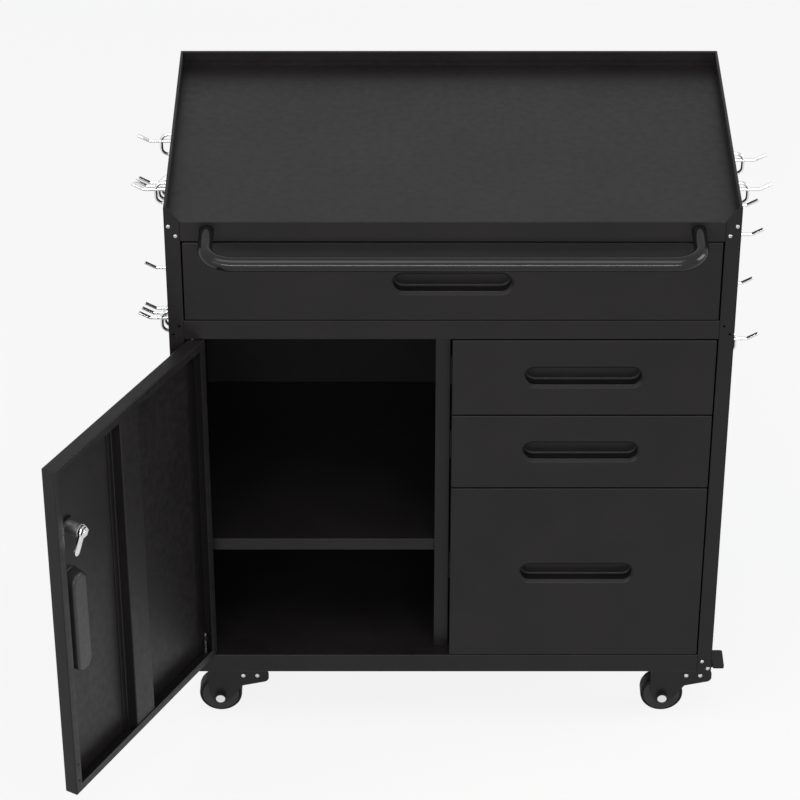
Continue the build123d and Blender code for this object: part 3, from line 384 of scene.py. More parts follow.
def side_sheet(side):
    """Bmesh of one perforated side; side is -1 for left and 1 for right."""
    bm = bmesh.new()
    peg_cell(bm)
    repeat(bm, HOLES_DEEP, (PITCH, 0, 0))
    repeat(bm, HOLES_HIGH, (0, PITCH, 0))
    low_u, low_v = -PITCH / 2, -PITCH / 2
    high_u, high_v = low_u + HOLES_DEEP * PITCH, low_v + HOLES_HIGH * PITCH
    tiny = 0.1 * MM

    def on_rim(vert):
        u, v = vert.co.x, vert.co.y
        return min(abs(u - low_u), abs(u - high_u), abs(v - low_v), abs(v - high_v)) < tiny

    rim = [e for e in bm.edges if e.is_boundary and all(on_rim(v) for v in e.verts)]
    grown = bmesh.ops.extrude_edge_only(bm, edges=rim)["geom"]
    front, back = -FIELD_BACK, -2 * FRONT - FIELD_BACK
    bottom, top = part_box("side_skin_left")[0].z - FIRST_Z, TOP_Z - FIRST_Z
    for vert in [g for g in grown if isinstance(g, bmesh.types.BMVert)]:
        u, v = vert.co.x, vert.co.y
        vert.co.x = front if abs(u - low_u) < tiny else back if abs(u - high_u) < tiny else u
        vert.co.y = bottom if abs(v - low_v) < tiny else top if abs(v - high_v) < tiny else v
    upright = Matrix(((0, 0, 0, side * SIDE_X), (1, 0, 0, FIRST_Y), (0, 1, 0, FIRST_Z), (0, 0, 0, 1)))
    for vert in bm.verts:
        vert.co = upright @ vert.co
    edge = [e for e in bm.edges if e.is_boundary and all(abs(v.co.z - TOP_Z) < tiny for v in e.verts)]
    for inward, down in ((HEM_IN, 0.0), (0.0, HEM_DOWN)):
        step = bmesh.ops.extrude_edge_only(bm, edges=edge)["geom"]
        fresh = [g for g in step if isinstance(g, bmesh.types.BMVert)]
        bmesh.ops.translate(bm, verts=fresh, vec=(-side * inward, 0.0, -down))
        for vert in fresh:
            vert.co.y = max(FRONT + HEM_END, min(-FRONT - HEM_END, vert.co.y))
        edge = [g for g in step if isinstance(g, bmesh.types.BMEdge) and all(v in fresh for v in g.verts)]
    folds = [e for e in bm.edges if len(e.link_faces) == 2 and e.calc_face_angle() > radians(60)]
    bmesh.ops.bevel(bm, geom=folds, offset=1.2 * MM, segments=3, profile=0.5, affect="EDGES", material=-1)
    bmesh.ops.recalc_face_normals(bm, faces=bm.faces)
    largest = max(bm.faces, key=lambda f: f.calc_area())
    if largest.normal.x * side < 0:
        bmesh.ops.reverse_faces(bm, faces=bm.faces)
    return bm


for side, word in ((-1, "left"), (1, "right")):
    piece = finish_piece("perforated_side_" + word, side_sheet(side), BLACK, "cabinet", "side_skin_" + word,
                         gauge=SHEET)
    print(piece.name, len(piece.data.polygons), "faces before the gauge")

# %% [markdown]
# ## Drawer fronts with a pressed ring
# A front starts as flat loops: its outline, the slot of the ring and, behind it, the smaller slot that the
# ring narrows to. The two slots are bridged into a bevel, the face is filled between outline and ring, and
# the outline is pulled back 19 mm and rounded like a bend. Solidify turns the skin into a sheet.

# %% Flat loops
TINY = 0.1 * MM


def loop_of(verts):
    """The edges that join the given vertices."""
    chosen = set(verts)
    return list(dict.fromkeys(e for v in verts for e in v.link_edges if e.other_vert(v) in chosen))


def slot_loop(bm, x, y, z, length, height, upright=False, sides=40):
    """Slot-shaped loop in a plane facing the front; with length equal to height it is a circle."""
    verts = bmesh.ops.create_circle(bm, segments=sides, radius=height / 2)["verts"]
    bmesh.ops.rotate(bm, verts=verts, matrix=Matrix.Rotation(pi / sides, 3, "Z"))
    for vert in verts:
        along = vert.co.x + (length - height) / 2 * (1 if vert.co.x > 0 else -1)
        across = vert.co.y
        vert.co = Vector((x - across, y, z + along)) if upright else Vector((x + along, y, z + across))
    return loop_of(verts)


def box_loop(bm, x0, x1, y, z0, z1):
    """Rectangle facing the front."""
    verts = bmesh.ops.create_circle(bm, segments=4, radius=2.0 ** 0.5)["verts"]
    bmesh.ops.rotate(bm, verts=verts, matrix=Matrix.Rotation(pi / 4, 3, "Z"))
    for vert in verts:
        vert.co = Vector((x1 if vert.co.x > 0 else x0, y, z1 if vert.co.y > 0 else z0))
    return loop_of(verts)


def pull(bm, edges, step):
    """Extrude open edges by one step and return the new ones."""
    grown = bmesh.ops.extrude_edge_only(bm, edges=edges)["geom"]
    fresh = [g for g in grown if isinstance(g, bmesh.types.BMVert)]
    bmesh.ops.translate(bm, verts=fresh, vec=step)
    return loop_of(fresh)


def face_outward(bm, toward):
    """Turn every face to one side, judged by the largest face."""
    bmesh.ops.recalc_face_normals(bm, faces=bm.faces)
    largest = max(bm.faces, key=lambda f: f.calc_area())
    if largest.normal.dot(Vector(toward)) < 0:
        bmesh.ops.reverse_faces(bm, faces=bm.faces)


# %% [markdown]
# Drawer fronts and door are the same kind of pan, pressed and folded from one sheet. A subdivided plane would
# need many faces to hold such a crisp ring, while filling the flat face between a few loops needs none.

# %% A folded front
RING_L, RING_H, RING_IN, RING_D = 164 * MM, 36 * MM, 4.5 * MM, 3.2 * MM
PAN_D = 19.0 * MM
PAN_R, RING_R = 1.5 * MM, 0.5 * MM


def folded_front(bm, x0, x1, z0, z1, cup_x, cup_z, upright=False, rims=()):
    """Face with its ring, openings and turned-back edges; returns the open rear edges."""
    border = box_loop(bm, x0, x1, FRONT, z0, z1)
    outer = slot_loop(bm, cup_x, FRONT, cup_z, RING_L, RING_H, upright)
    inner = slot_loop(bm, cup_x, FRONT + RING_D, cup_z,
                      RING_L - 2 * RING_IN, RING_H - 2 * RING_IN, upright)
    bmesh.ops.bridge_loops(bm, edges=outer + inner)
    flat = border + outer + [e for rim in rims for e in rim]
    bmesh.ops.triangle_fill(bm, use_beauty=True, use_dissolve=False, edges=flat)
    corners = list(dict.fromkeys(v for e in border for v in e.verts))
    rear = pull(bm, border, (0.0, PAN_D, 0.0))
    folds = border + [e for v in corners for e in v.link_edges
                      if abs(e.verts[0].co.y - e.verts[1].co.y) > MM]
    bmesh.ops.bevel(bm, geom=folds, offset=PAN_R, segments=4, profile=0.5, affect="EDGES", material=-1)
    soft = [e for e in outer + inner if e.is_valid]
    bmesh.ops.bevel(bm, geom=soft, offset=RING_R, segments=2, profile=0.5, affect="EDGES", material=-1)
    return [e for e in bm.edges if e.is_boundary and all(v.co.y > FRONT + PAN_D - TINY for v in e.verts)]


print("rings of", round(RING_L / MM), "by", round(RING_H / MM), "mm in pans", round(PAN_D / MM), "mm deep")

# %% [markdown]
# Behind each ring sits a finger cup, drawn from thinner sheet: straight walls that taper a little, so that it
# leaves its die, and a floor with a round edge. Two slot loops bridged, filled and bevelled give just that.

# %% The drawn cup behind a ring
MOUTH_D, MOUTH_L, MOUTH_H = 2.2 * MM, 162 * MM, 34 * MM
CUP_D, CUP_L, CUP_H, CUP_R = 18.6 * MM, 158.6 * MM, 30.6 * MM, 4.0 * MM
THIN_SHEET = 1.0 * MM


def drawn_cup(bm, cup_x, cup_z, upright=False):
    """Outside of the cup: its mouth behind the ring, walls that taper, a rounded floor."""
    mouth = slot_loop(bm, cup_x, FRONT + MOUTH_D, cup_z, MOUTH_L, MOUTH_H, upright)
    floor = slot_loop(bm, cup_x, FRONT + CUP_D, cup_z, CUP_L, CUP_H, upright)
    bmesh.ops.bridge_loops(bm, edges=mouth + floor)
    bmesh.ops.triangle_fill(bm, use_beauty=True, use_dissolve=False, edges=floor)
    bmesh.ops.bevel(bm, geom=floor, offset=CUP_R, segments=4, profile=0.5, affect="EDGES", material=-1)


print("cups", round(CUP_D / MM, 1), "mm deep")

# %% [markdown]
# The four drawers differ only in size. Each front reads its own box from the frame, and so does its cup, so
# the pieces follow the CAD without a number of their own.

# %% Four drawers
def middle(low, high):
    return (low + high) / 2.0


for number in (1, 2, 3, 4):
    low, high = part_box(f"drawer_{number}_front")
    cup_low, cup_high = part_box(f"drawer_{number}_cup")
    cup_x, cup_z = middle(cup_low.x, cup_high.x), middle(cup_low.z, cup_high.z)
    front = bmesh.new()
    folded_front(front, low.x, high.x, low.z, high.z, cup_x, cup_z)
    face_outward(front, (0, -1, 0))
    finish_piece(f"pressed_front_{number}", front, BLACK, f"drawer_{number}", f"drawer_{number}_front",
                 gauge=SHEET)
    cup = bmesh.new()
    drawn_cup(cup, cup_x, cup_z)
    face_outward(cup, (0, 1, 0))
    finish_piece(f"drawn_cup_{number}", cup, BLACK, f"drawer_{number}", f"drawer_{number}_cup",
                 gauge=THIN_SHEET)
print("four fronts and cups")

# %% [markdown]
# ## The door
# The door is drawn closed, in the same plane as the drawer fronts, and swung open by 120 degrees about its
# pivots at the end. Its four edges turn back 19 mm and then in again by 13 mm, mitred at the corners. A face
# gets round holes by filling it again between its edges and the rims of the holes.

# %% Holes and the swing
PIVOT = Vector((-344.5 * MM, -206.0 * MM, 0.0))
DOOR_X0, DOOR_X1 = -352.5 * MM, -2.0 * MM
DOOR_Z0, DOOR_Z1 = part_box("door_shell")[0].z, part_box("door_shell")[1].z
LOCK = Vector((-44.0 * MM, FRONT, 551.0 * MM))
DOOR_CUP = Vector((-43.5 * MM, FRONT, 400.6 * MM))
DOOR_OPEN = radians(-120)
SWING = Matrix.Translation(PIVOT) @ Matrix.Rotation(DOOR_OPEN, 4, "Z") @ Matrix.Translation(-PIVOT)


def punch(bm, face, *rims):
    """Fill a face again with holes in it."""
    border = list(face.edges)
    bmesh.ops.delete(bm, geom=[face], context="FACES_ONLY")
    edges = border + [e for rim in rims for e in rim]
    bmesh.ops.triangle_fill(bm, use_beauty=True, use_dissolve=False, edges=edges)


def swing(bm):
    """Turn a closed door's piece to where the door stands open."""
    bmesh.ops.transform(bm, matrix=SWING, verts=bm.verts)
    bm.normal_update()


print("door from", round(DOOR_Z0, 4), "to", round(DOOR_Z1, 4))

# %% [markdown]
# The shell starts as one more folded front, with a round hole for the lock. Its open rear edge is extruded
# again and moved inward, which makes the return lips with their mitres. The lip at the lock side has two
# small holes near its foot. Faces that shrink to nothing in a bevel are dissolved, because the even gauge of
# Solidify would throw them far out.

# %% Door shell
LIP = 13 * MM
LOCK_HOLE, LIP_HOLE = 19.2 * MM, 3.2 * MM
LIP_HOLE_IN, LIP_HOLES_Z = 7.5 * MM, (152 * MM, 180 * MM)
shell = bmesh.new()
lock_rim = slot_loop(shell, LOCK.x, FRONT, LOCK.z, LOCK_HOLE, LOCK_HOLE, sides=32)
rear = folded_front(shell, DOOR_X0, DOOR_X1, DOOR_Z0, DOOR_Z1, DOOR_CUP.x, DOOR_CUP.z, True, [lock_rim])
lips = bmesh.ops.extrude_edge_only(shell, edges=rear)["geom"]
for vert in [g for g in lips if isinstance(g, bmesh.types.BMVert)]:
    vert.co.x = DOOR_X0 + LIP if vert.co.x < middle(DOOR_X0, DOOR_X1) else DOOR_X1 - LIP
    vert.co.z = DOOR_Z0 + LIP if vert.co.z < middle(DOOR_Z0, DOOR_Z1) else DOOR_Z1 - LIP
bmesh.ops.remove_doubles(shell, verts=shell.verts, dist=0.01 * MM)
shell.normal_update()
lip = max((f for f in shell.faces if f.normal.y ** 2 > 0.99 and f.calc_center_median().x > DOOR_X1 - 10 * MM
           and f.calc_center_median().y > FRONT + 15 * MM), key=lambda f: f.calc_area())
holes = [slot_loop(shell, DOOR_X1 - LIP_HOLE_IN, FRONT + PAN_D, z, LIP_HOLE, LIP_HOLE, sides=16)
         for z in LIP_HOLES_Z]
punch(shell, lip, *holes)
folds = [e for e in shell.edges if len(e.link_faces) == 2 and e.calc_face_angle() > radians(80)
         and all(v.co.y > FRONT + PAN_D - TINY for v in e.verts)]
bmesh.ops.bevel(shell, geom=folds, offset=PAN_R, segments=3, profile=0.5, affect="EDGES", material=-1)
bmesh.ops.dissolve_degenerate(shell, dist=0.02 * MM, edges=shell.edges[:])
face_outward(shell, (0, -1, 0))
swing(shell)
finish_piece("door_pan", shell, BLACK, "door", "door_shell", gauge=SHEET)
print("door pan")

# %% [markdown]
# A hat channel is spot-welded upright inside the door against rattling. It is a line of six points pulled up
# the door and rounded at its four folds. The cup beside it is the drawers' cup, turned upright; on this door
# it is a moulding, a little paler than the coat.

# %% Stiffener and door cup
HAT = [(-31.5, 2.2), (-21.5, 2.2), (-21.5, 17.7), (21.5, 17.7), (21.5, 2.2), (31.5, 2.2)]
HAT_X = DOOR_X1 - 170.5 * MM
HAT_SHORT, HAT_R = 1.3 * MM, 1.6 * MM
hat = bmesh.new()
start = bmesh.ops.create_vert(hat, co=(HAT_X + HAT[0][0] * MM, FRONT + HAT[0][1] * MM,
                                       DOOR_Z0 + HAT_SHORT))["vert"]
for (u0, v0), (u1, v1) in zip(HAT, HAT[1:]):
    step = bmesh.ops.extrude_vert_indiv(hat, verts=start)
    bmesh.ops.translate(hat, verts=step["verts"], vec=((u1 - u0) * MM, (v1 - v0) * MM, 0.0))
    start = step["verts"]
pull(hat, hat.edges[:], (0.0, 0.0, DOOR_Z1 - DOOR_Z0 - 2 * HAT_SHORT))
folds = [e for e in hat.edges if len(e.link_faces) == 2]
bmesh.ops.bevel(hat, geom=folds, offset=HAT_R, segments=3, profile=0.5, affect="EDGES", material=-1)
face_outward(hat, (0, 1, 0))
swing(hat)
finish_piece("door_hat_channel", hat, BLACK, "door", "door_stiffener", gauge=THIN_SHEET)

cup = bmesh.new()
drawn_cup(cup, DOOR_CUP.x, DOOR_CUP.z, True)
face_outward(cup, (0, 1, 0))
swing(cup)
finish_piece("door_drawn_cup", cup, CUP_PLASTIC, "door", "door_cup", gauge=THIN_SHEET)
print("stiffener and door cup")

# %% [markdown]
# The lock body and its hex nut are two solids of one CAD node. Each becomes a piece of its own, because the
# body gets the pale polished metal and the nut the black coat. A solid is found by walking from face to face
# over shared edges.

# %% Lock body and hex nut
def solids_of(bm):
    """The faces of each closed solid, the largest number of faces first."""
    left, found = dict.fromkeys(bm.faces), []
    while left:
        solid = [next(iter(left))]
        del left[solid[0]]
        for face in solid:
            for near in [f for e in face.edges for f in e.link_faces if f in left]:
                if near in left:
                    del left[near]
                    solid.append(near)
        found.append(solid)
    return sorted(found, key=len, reverse=True)


for part, (name, finish) in enumerate((("lock_body", CAP_METAL), ("lock_hex_nut", BLACK))):
    lock = bmesh.new()
    lock.from_mesh(frame["nodes"]["lock_barrel"].data)
    bmesh.ops.remove_doubles(lock, verts=lock.verts, dist=2e-6)
    bmesh.ops.dissolve_limit(lock, angle_limit=radians(0.6), verts=lock.verts, edges=lock.edges)
    others = [f for index, solid in enumerate(solids_of(lock)) if index != part for f in solid]
    bmesh.ops.delete(lock, geom=others, context="FACES")
    rims = [e for e in lock.edges if e.is_convex and e.calc_face_angle(0.0) > radians(55)]
    bmesh.ops.bevel(lock, geom=rims, offset=0.2 * MM, segments=2, profile=0.5, affect="EDGES", material=-1)
    stands_for = ["lock_barrel"] if part == 0 else []
    finish_piece(name, lock, finish, body_of("lock_barrel"), *stands_for, slot=slot_of["lock_barrel"],
                 angle=35)
print("lock body and nut")

# %% [markdown]
# ## Bent tube and wire
# Every rod is a ring pulled along its path: pulled straight by extrude and round a bend by spin. The wire
# hooks are all alike, so one function bends a hook and puts it on its hole.

# %% Rods
def rod_start(bm, place, toward, radius, sides):
    """A ring across the given direction."""
    turn = Vector((0, 0, 1)).rotation_difference(Vector(toward)).to_matrix().to_4x4()
    verts = bmesh.ops.create_circle(bm, segments=sides, radius=radius,
                                    matrix=Matrix.Translation(place) @ turn)["verts"]
    return loop_of(verts)


def bend(bm, edges, centre, axis, degrees_, steps):
    """Carry a ring round a bend."""
    swept = bmesh.ops.spin(bm, geom=edges, cent=centre, axis=axis, angle=radians(degrees_), steps=steps)
    return [g for g in swept["geom_last"] if isinstance(g, bmesh.types.BMEdge)]


print("helpers for rods ready")

# %% [markdown]
# The handle is one steel tube with two bends. Its ends pass through the top rail and are welded to small
# plates behind it. A curve with a round bevel would do as well, but the ring keeps its 32 sides through the
# bends, and the plates join the same mesh.

# %% Push handle
GRIP_R, GRIP_X, GRIP_Z = 9.5 * MM, 320.0 * MM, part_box("push_handle")[1].z - 12.7 * MM
GRIP_Y, BEND_R = FRONT - 79.0 * MM, 38.0 * MM
GRIP_END = FRONT + 1.7 * MM
PLATE_SIZE, PLATE_Y = (40 * MM, 2 * MM, 26 * MM), FRONT + 2.2 * MM
grip = bmesh.new()
edges = rod_start(grip, (-GRIP_X, GRIP_END, GRIP_Z), (0, -1, 0), GRIP_R, 32)
edges = pull(grip, edges, (0, GRIP_Y + BEND_R - GRIP_END, 0))
edges = bend(grip, edges, (-GRIP_X + BEND_R, GRIP_Y + BEND_R, GRIP_Z), (0, 0, 1), 90, 12)
edges = pull(grip, edges, (2 * (GRIP_X - BEND_R), 0, 0))
edges = bend(grip, edges, (GRIP_X - BEND_R, GRIP_Y + BEND_R, GRIP_Z), (0, 0, 1), 90, 12)
pull(grip, edges, (0, GRIP_END - GRIP_Y - BEND_R, 0))
for side in (-1, 1):
    plate = bmesh.ops.create_cube(grip, size=1.0)["verts"]
    bmesh.ops.scale(grip, verts=plate, vec=PLATE_SIZE)
    bmesh.ops.translate(grip, verts=plate, vec=(side * GRIP_X, PLATE_Y, GRIP_Z))
face_outward(grip, (0, -1, 0))
finish_piece("push_bar", grip, GRIP, "cabinet", "push_handle", angle=50)
print("push handle")

# %% [markdown]
# A hook of this kind is bent from plated wire: its inner end rises behind the sheet, the middle passes
# through the hole, and the outer end stands out and rises. A loop of thinner wire steadies it against the
# sheet. Both are rings pulled and spun in turn, so every bend keeps its true radius.

# %% Wire hooks
WIRE_R, BRACE_R = 2.5 * MM, 2.3 * MM
HOOK_RISE = 29
HOOK_OUT, HOOK_ARM, HOOK_IN, HOOK_UP = 33 * MM, 17.5 * MM, 8 * MM, 9 * MM
HOOK_BEND, HOOK_TIP = 5.5 * MM, 0.7 * MM
BRACE_NEAR, BRACE_FAR, BRACE_UP, BRACE_DOWN, BRACE_BEND = 0.1 * MM, 17 * MM, 10 * MM, 21 * MM, 10 * MM


def hook_wire(bm, side, y, z):
    """Wire up behind the sheet, straight out through its hole, then rising."""
    root, rise = side * SIDE_X, radians(HOOK_RISE)
    edges = rod_start(bm, (root - side * HOOK_IN, y, z + HOOK_UP), (0, 0, -1), WIRE_R, 14)
    bmesh.ops.holes_fill(bm, edges=edges, sides=0)
    edges = pull(bm, edges, (0, 0, HOOK_BEND - HOOK_UP))
    edges = bend(bm, edges, (root - side * (HOOK_IN - HOOK_BEND), y, z + HOOK_BEND), (0, side, 0), -90, 6)
    reach = HOOK_BEND * (1 - cos(rise)) / sin(rise)
    edges = pull(bm, edges, (side * (HOOK_OUT + HOOK_IN - HOOK_BEND - reach), 0, 0))
    edges = bend(bm, edges, (root + side * (HOOK_OUT - reach), y, z + HOOK_BEND), (0, side, 0), -HOOK_RISE, 4)
    edges = pull(bm, edges, Vector((side * cos(rise), 0, sin(rise))) * (HOOK_ARM - reach))
    bmesh.ops.holes_fill(bm, edges=edges, sides=0)
    bmesh.ops.bevel(bm, geom=edges, offset=HOOK_TIP, segments=2, profile=0.5, affect="EDGES", material=-1)


def brace_wire(bm, side, y, z):
    """Loop of thinner wire from the sheet above the hook, outward, down and back below it."""
    root, bend_x = side * SIDE_X, side * (SIDE_X + BRACE_FAR - BRACE_BEND)
    edges = rod_start(bm, (root + side * BRACE_NEAR, y, z + BRACE_UP), (side, 0, 0), BRACE_R, 12)
    bmesh.ops.holes_fill(bm, edges=edges, sides=0)
    edges = pull(bm, edges, (side * (BRACE_FAR - BRACE_NEAR - BRACE_BEND), 0, 0))
    edges = bend(bm, edges, (bend_x, y, z + BRACE_UP - BRACE_BEND), (0, side, 0), 90, 6)
    edges = pull(bm, edges, (0, 0, 2 * BRACE_BEND - BRACE_UP - BRACE_DOWN))
    edges = bend(bm, edges, (bend_x, y, z - BRACE_DOWN + BRACE_BEND), (0, side, 0), 90, 6)
    edges = pull(bm, edges, (side * (BRACE_NEAR + BRACE_BEND - BRACE_FAR), 0, 0))
    bmesh.ops.holes_fill(bm, edges=edges, sides=0)


HOOKS = {"left": ((2, 0), (4, 1), (6, 2), (7, 0), (2, 8), (4, 9), (6, 10), (7, 8)),
         "right": ((5, 0), (2, 0), (7, 4), (4, 4), (7, 9), (3, 10))}
for side, word in ((-1, "left"), (1, "right")):
    hooks = bmesh.new()
    for column, row in HOOKS[word]:
        y, z = FIRST_Y + column * PITCH, TOP_Z - FIELD_DOWN - row * PITCH
        hook_wire(hooks, side, y, z)
        brace_wire(hooks, side, y, z)
    bmesh.ops.recalc_face_normals(hooks, faces=hooks.faces)
    finish_piece("wire_hooks_" + word, hooks, CHROME, "cabinet", "peg_hooks_" + word, angle=50)
print("hooks bent")

# %% [markdown]
# ## Screws
# The posts are held by zinc-plated pan-head screws, in pairs at the corners. A head is a profile spun once
# round its axis. Its cross recess is a twelve-cornered outline set into the flat top of the head and sunk
# 1 mm, which leaves cleaner edges than a Boolean cut would.

# %% Pan-head screws
def turned(bm, profile, sides, place=(0, 0, 0), axis=(0, -1, 0)):
    """Spin a profile of (radius, height) pairs in mm round an axis that starts at a place."""
    older = set(bm.verts)
    start = bmesh.ops.create_vert(bm, co=(profile[0][0] * MM, 0, profile[0][1] * MM))["vert"]
    chain = list(start)
    for radius, height in profile[1:]:
        step = bmesh.ops.extrude_vert_indiv(bm, verts=start)
        start = step["verts"]
        start[0].co = Vector((radius * MM, 0, height * MM))
        chain += start + step["edges"]
    bmesh.ops.spin(bm, geom=chain, cent=(0, 0, 0), axis=(0, 0, 1), angle=2 * pi, steps=sides,
                   use_merge=True)
    fresh = [v for v in bm.verts if v not in older]
    bmesh.ops.remove_doubles(bm, verts=fresh, dist=0.002 * MM)
    fresh = [v for v in bm.verts if v not in older]
    turn = Vector((0, 0, 1)).rotation_difference(Vector(axis)).to_matrix().to_4x4()
    bmesh.ops.transform(bm, matrix=Matrix.Translation(place) @ turn, verts=fresh)
    return fresh


CROWN = [(1.7, 2.1), (2.1, 1.95), (2.5, 1.6), (2.7, 1.1), (2.8, 0.5), (2.8, 0.0)]
CROSS_ARM, CROSS_WIDE, CROSS_DEEP = 1.3 * MM, 0.32 * MM, 1.0 * MM
SHANK = [(0.0, -5.0), (1.5, -5.0), (1.5, 0.0)]
NUT = [(1.5, -3.6), (2.9, -3.6), (2.9, -1.2), (1.5, -1.2)]


def pan_head(bm, x, z):
    """Head, cross recess, short shank and nut of one screw."""
    top = FRONT - CROWN[0][1] * MM
    verts = turned(bm, CROWN, 24, (x, FRONT, z))
    rim = [e for e in loop_of(verts) if all(abs(v.co.y - top) < 0.01 * MM for v in e.verts)]
    cross = bmesh.ops.create_circle(bm, segments=12, radius=MM)["verts"]
    corners = [(CROSS_ARM, CROSS_WIDE), (CROSS_WIDE, CROSS_WIDE), (CROSS_WIDE, CROSS_ARM)]
    outline = []
    for quarter in range(4):
        turn = Matrix.Rotation(quarter * pi / 2, 2)
        outline += [turn @ Vector(c) for c in corners]
    for vert in cross:
        step = round(atan2(vert.co.y, vert.co.x) / (pi / 6)) % 12
        u, v = outline[step]
        vert.co = Vector((x + u, top, z + v))
    edges = loop_of(cross)
    bmesh.ops.triangle_fill(bm, use_beauty=True, use_dissolve=False, edges=edges + rim)
    deep = pull(bm, edges, (0, CROSS_DEEP, 0))
    bmesh.ops.holes_fill(bm, edges=deep, sides=0)
    turned(bm, SHANK, 16, (x, FRONT, z))
    turned(bm, NUT, 6, (x, FRONT, z))


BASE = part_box("bottom_pan")[0].z
TRAY_Z = BASE + 752.5 * MM
SCREWS = [(360.6 * MM, TRAY_Z - 21.3 * MM), (369.4 * MM, TRAY_Z - 6.8 * MM),
          (361.4 * MM, BASE + 19.4 * MM), (370.0 * MM, BASE + 6.5 * MM)]
screws = bmesh.new()
for side in (-1, 1):
    for x, z in SCREWS:
        pan_head(screws, side * x, z)
bmesh.ops.recalc_face_normals(screws, faces=screws.faces)
finish_piece("pan_head_screws", screws, ZINC, "cabinet", "frame_screws", angle=35)
print("screws turned")

# %% [markdown]
# ## Wheels and axles
# A wheel is a narrow tyre round a moulded hub. Both are spun from half a section, which is mirrored first:
# that is how a lathe or a mould would shape them, and it keeps the two sides alike.

# %% Wheels
WHEEL_Z = 30.5 * MM
TYRE = [(26.8, -11.8), (27.4, -12.4), (28.2, -12.3), (29.4, -11.5), (30.2, -10.2), (30.5, -8.6)]
HUB_HALF = [(4.1, -13.7), (7.6, -13.7), (8.0, -13.3), (8.2, -12.4), (10.2, -12.3), (10.8, -11.9),
            (21.0, -11.9), (21.6, -12.3), (26.4, -12.3), (26.8, -11.8)]


def both_ways(half):
    """A closed section from one half of it."""
    return half + [(radius, -height) for radius, height in reversed(half)] + [half[0]]


WHEELS = {"front_wheel_left": "front_roller_left", "front_wheel_right": "front_roller_right",
          "rear_wheel_left": "rear_roller_left", "rear_wheel_right": "rear_roller_right"}
for node, body in WHEELS.items():
    low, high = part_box(node)
    place = (middle(low.x, high.x), middle(low.y, high.y), WHEEL_Z)
    axis = (0, -1, 0) if node.startswith("front") else (1, 0, 0)
    tyre = bmesh.new()
    turned(tyre, both_ways(TYRE), 64, place, axis)
    bmesh.ops.recalc_face_normals(tyre, faces=tyre.faces)
    finish_piece(node.replace("wheel", "tyre"), tyre, RUBBER_WITH_PAINTED_SHADE, body, node, angle=50)
    hub = bmesh.new()
    turned(hub, both_ways(HUB_HALF), 64, place, axis)
    bmesh.ops.recalc_face_normals(hub, faces=hub.faces)
    finish_piece(node.replace("wheel", "hub"), hub, HUB, body, slot=slot_of[node])
print(len(WHEELS), "wheels spun")

# %% [markdown]
# Each front axle ends in a round black boss with a pale disc set in its face. Two domed rivets in the fork
# carry the brake pedal and stop it. All of them are spun like the screws, once for each side of the fork,
# and the shafts between them are plain rods.

# %% Axles and rivets
OUTSIDE = 16.5 * MM
CASTER = Vector((318.7 * MM, FRONT + 45 * MM, BASE))
AXLE_BACK = 8.9 * MM
RIVETS = [(24.7 * MM, -30.2 * MM), (44.8 * MM, -30.2 * MM)]
BOSS = [(4.0, -1.0), (7.2, 0.0), (7.7, 0.0), (7.7, 6.1), (7.4, 6.6), (6.9, 6.8), (6.6, 6.55)]
DISC = [(6.6, 6.4), (6.5, 6.75), (5.6, 6.95), (0.0, 7.0)]
SHAFT = [(0.0, -30.0), (4.0, -30.0), (4.0, 0.2)]
DOME = [(3.3, 0.0), (3.25, 0.6), (2.8, 1.4), (1.9, 1.85), (0.0, 2.0)]
PIN = [(0.0, -30.0), (2.5, -30.0), (2.5, 0.2)]

for side, word in ((-1, "left"), (1, "right")):
    body = body_of("front_pins_" + word)
    x = side * CASTER.x
    boss, disc, rivets = bmesh.new(), bmesh.new(), bmesh.new()
    for facing in (-1, 1):
        y = CASTER.y + facing * OUTSIDE
        axle = (x - AXLE_BACK, y, WHEEL_Z)
        turned(boss, BOSS, 48, axle, (0, facing, 0))
        turned(disc, DISC, 48, axle, (0, facing, 0))
        for along, up in RIVETS:
            turned(rivets, DOME, 24, (x + along, y, BASE + up), (0, facing, 0))
    turned(disc, SHAFT, 24, (x - AXLE_BACK, CASTER.y - OUTSIDE, WHEEL_Z))
    for along, up in RIVETS:
        turned(rivets, PIN, 16, (x + along, CASTER.y - OUTSIDE, BASE + up))
    for bm in (boss, disc, rivets):
        bmesh.ops.recalc_face_normals(bm, faces=bm.faces)
    finish_piece("axle_boss_" + word, boss, HUB, body, "front_pins_" + word, slot="black_paint")
    finish_piece("axle_disc_" + word, disc, CAP_METAL, body, slot=slot_of["front_pins_" + word])
    finish_piece("brake_rivets_" + word, rivets, ZINC, body, slot=slot_of["front_pins_" + word])
print("axles and rivets")

# %% [markdown]
# ## Stage
# A studio picture on white paper has a background that is almost white and a soft shadow under the object.
# A white floor would throw so much light back that black steel turned grey. So the floor is dark for the
# light that falls on things, and glows for the camera and for mirrored rays. The Light Path node tells these
# rays apart, and the world does the same above the horizon.

# %% Floor and world
FLOOR_HALF, FLOOR_GLOW = 30.0, 0.86
SKY_LIGHT, SKY_SEEN = 0.38, 0.92


def seen_rays(tree):
    """One for camera, mirrored and refracted rays, nought for the light that falls on things."""
    path = tree.nodes.new("ShaderNodeLightPath")
    seen = path.outputs["Is Camera Ray"]
    for kind in ("Is Glossy Ray", "Is Transmission Ray"):
        either = tree.nodes.new("ShaderNodeMath")
        either.operation = "MAXIMUM"
        tree.links.new(seen, either.inputs[0])
        tree.links.new(path.outputs[kind], either.inputs[1])
        seen = either.outputs[0]
    return seen


floor_mesh = bpy.data.meshes.new("studio_floor")
floor_bm = bmesh.new()
bmesh.ops.create_grid(floor_bm, x_segments=1, y_segments=1, size=FLOOR_HALF)
floor_bm.to_mesh(floor_mesh)
floor_bm.free()
floor = bpy.data.objects.new("studio_floor", floor_mesh)
bpy.context.scene.collection.objects.link(floor)

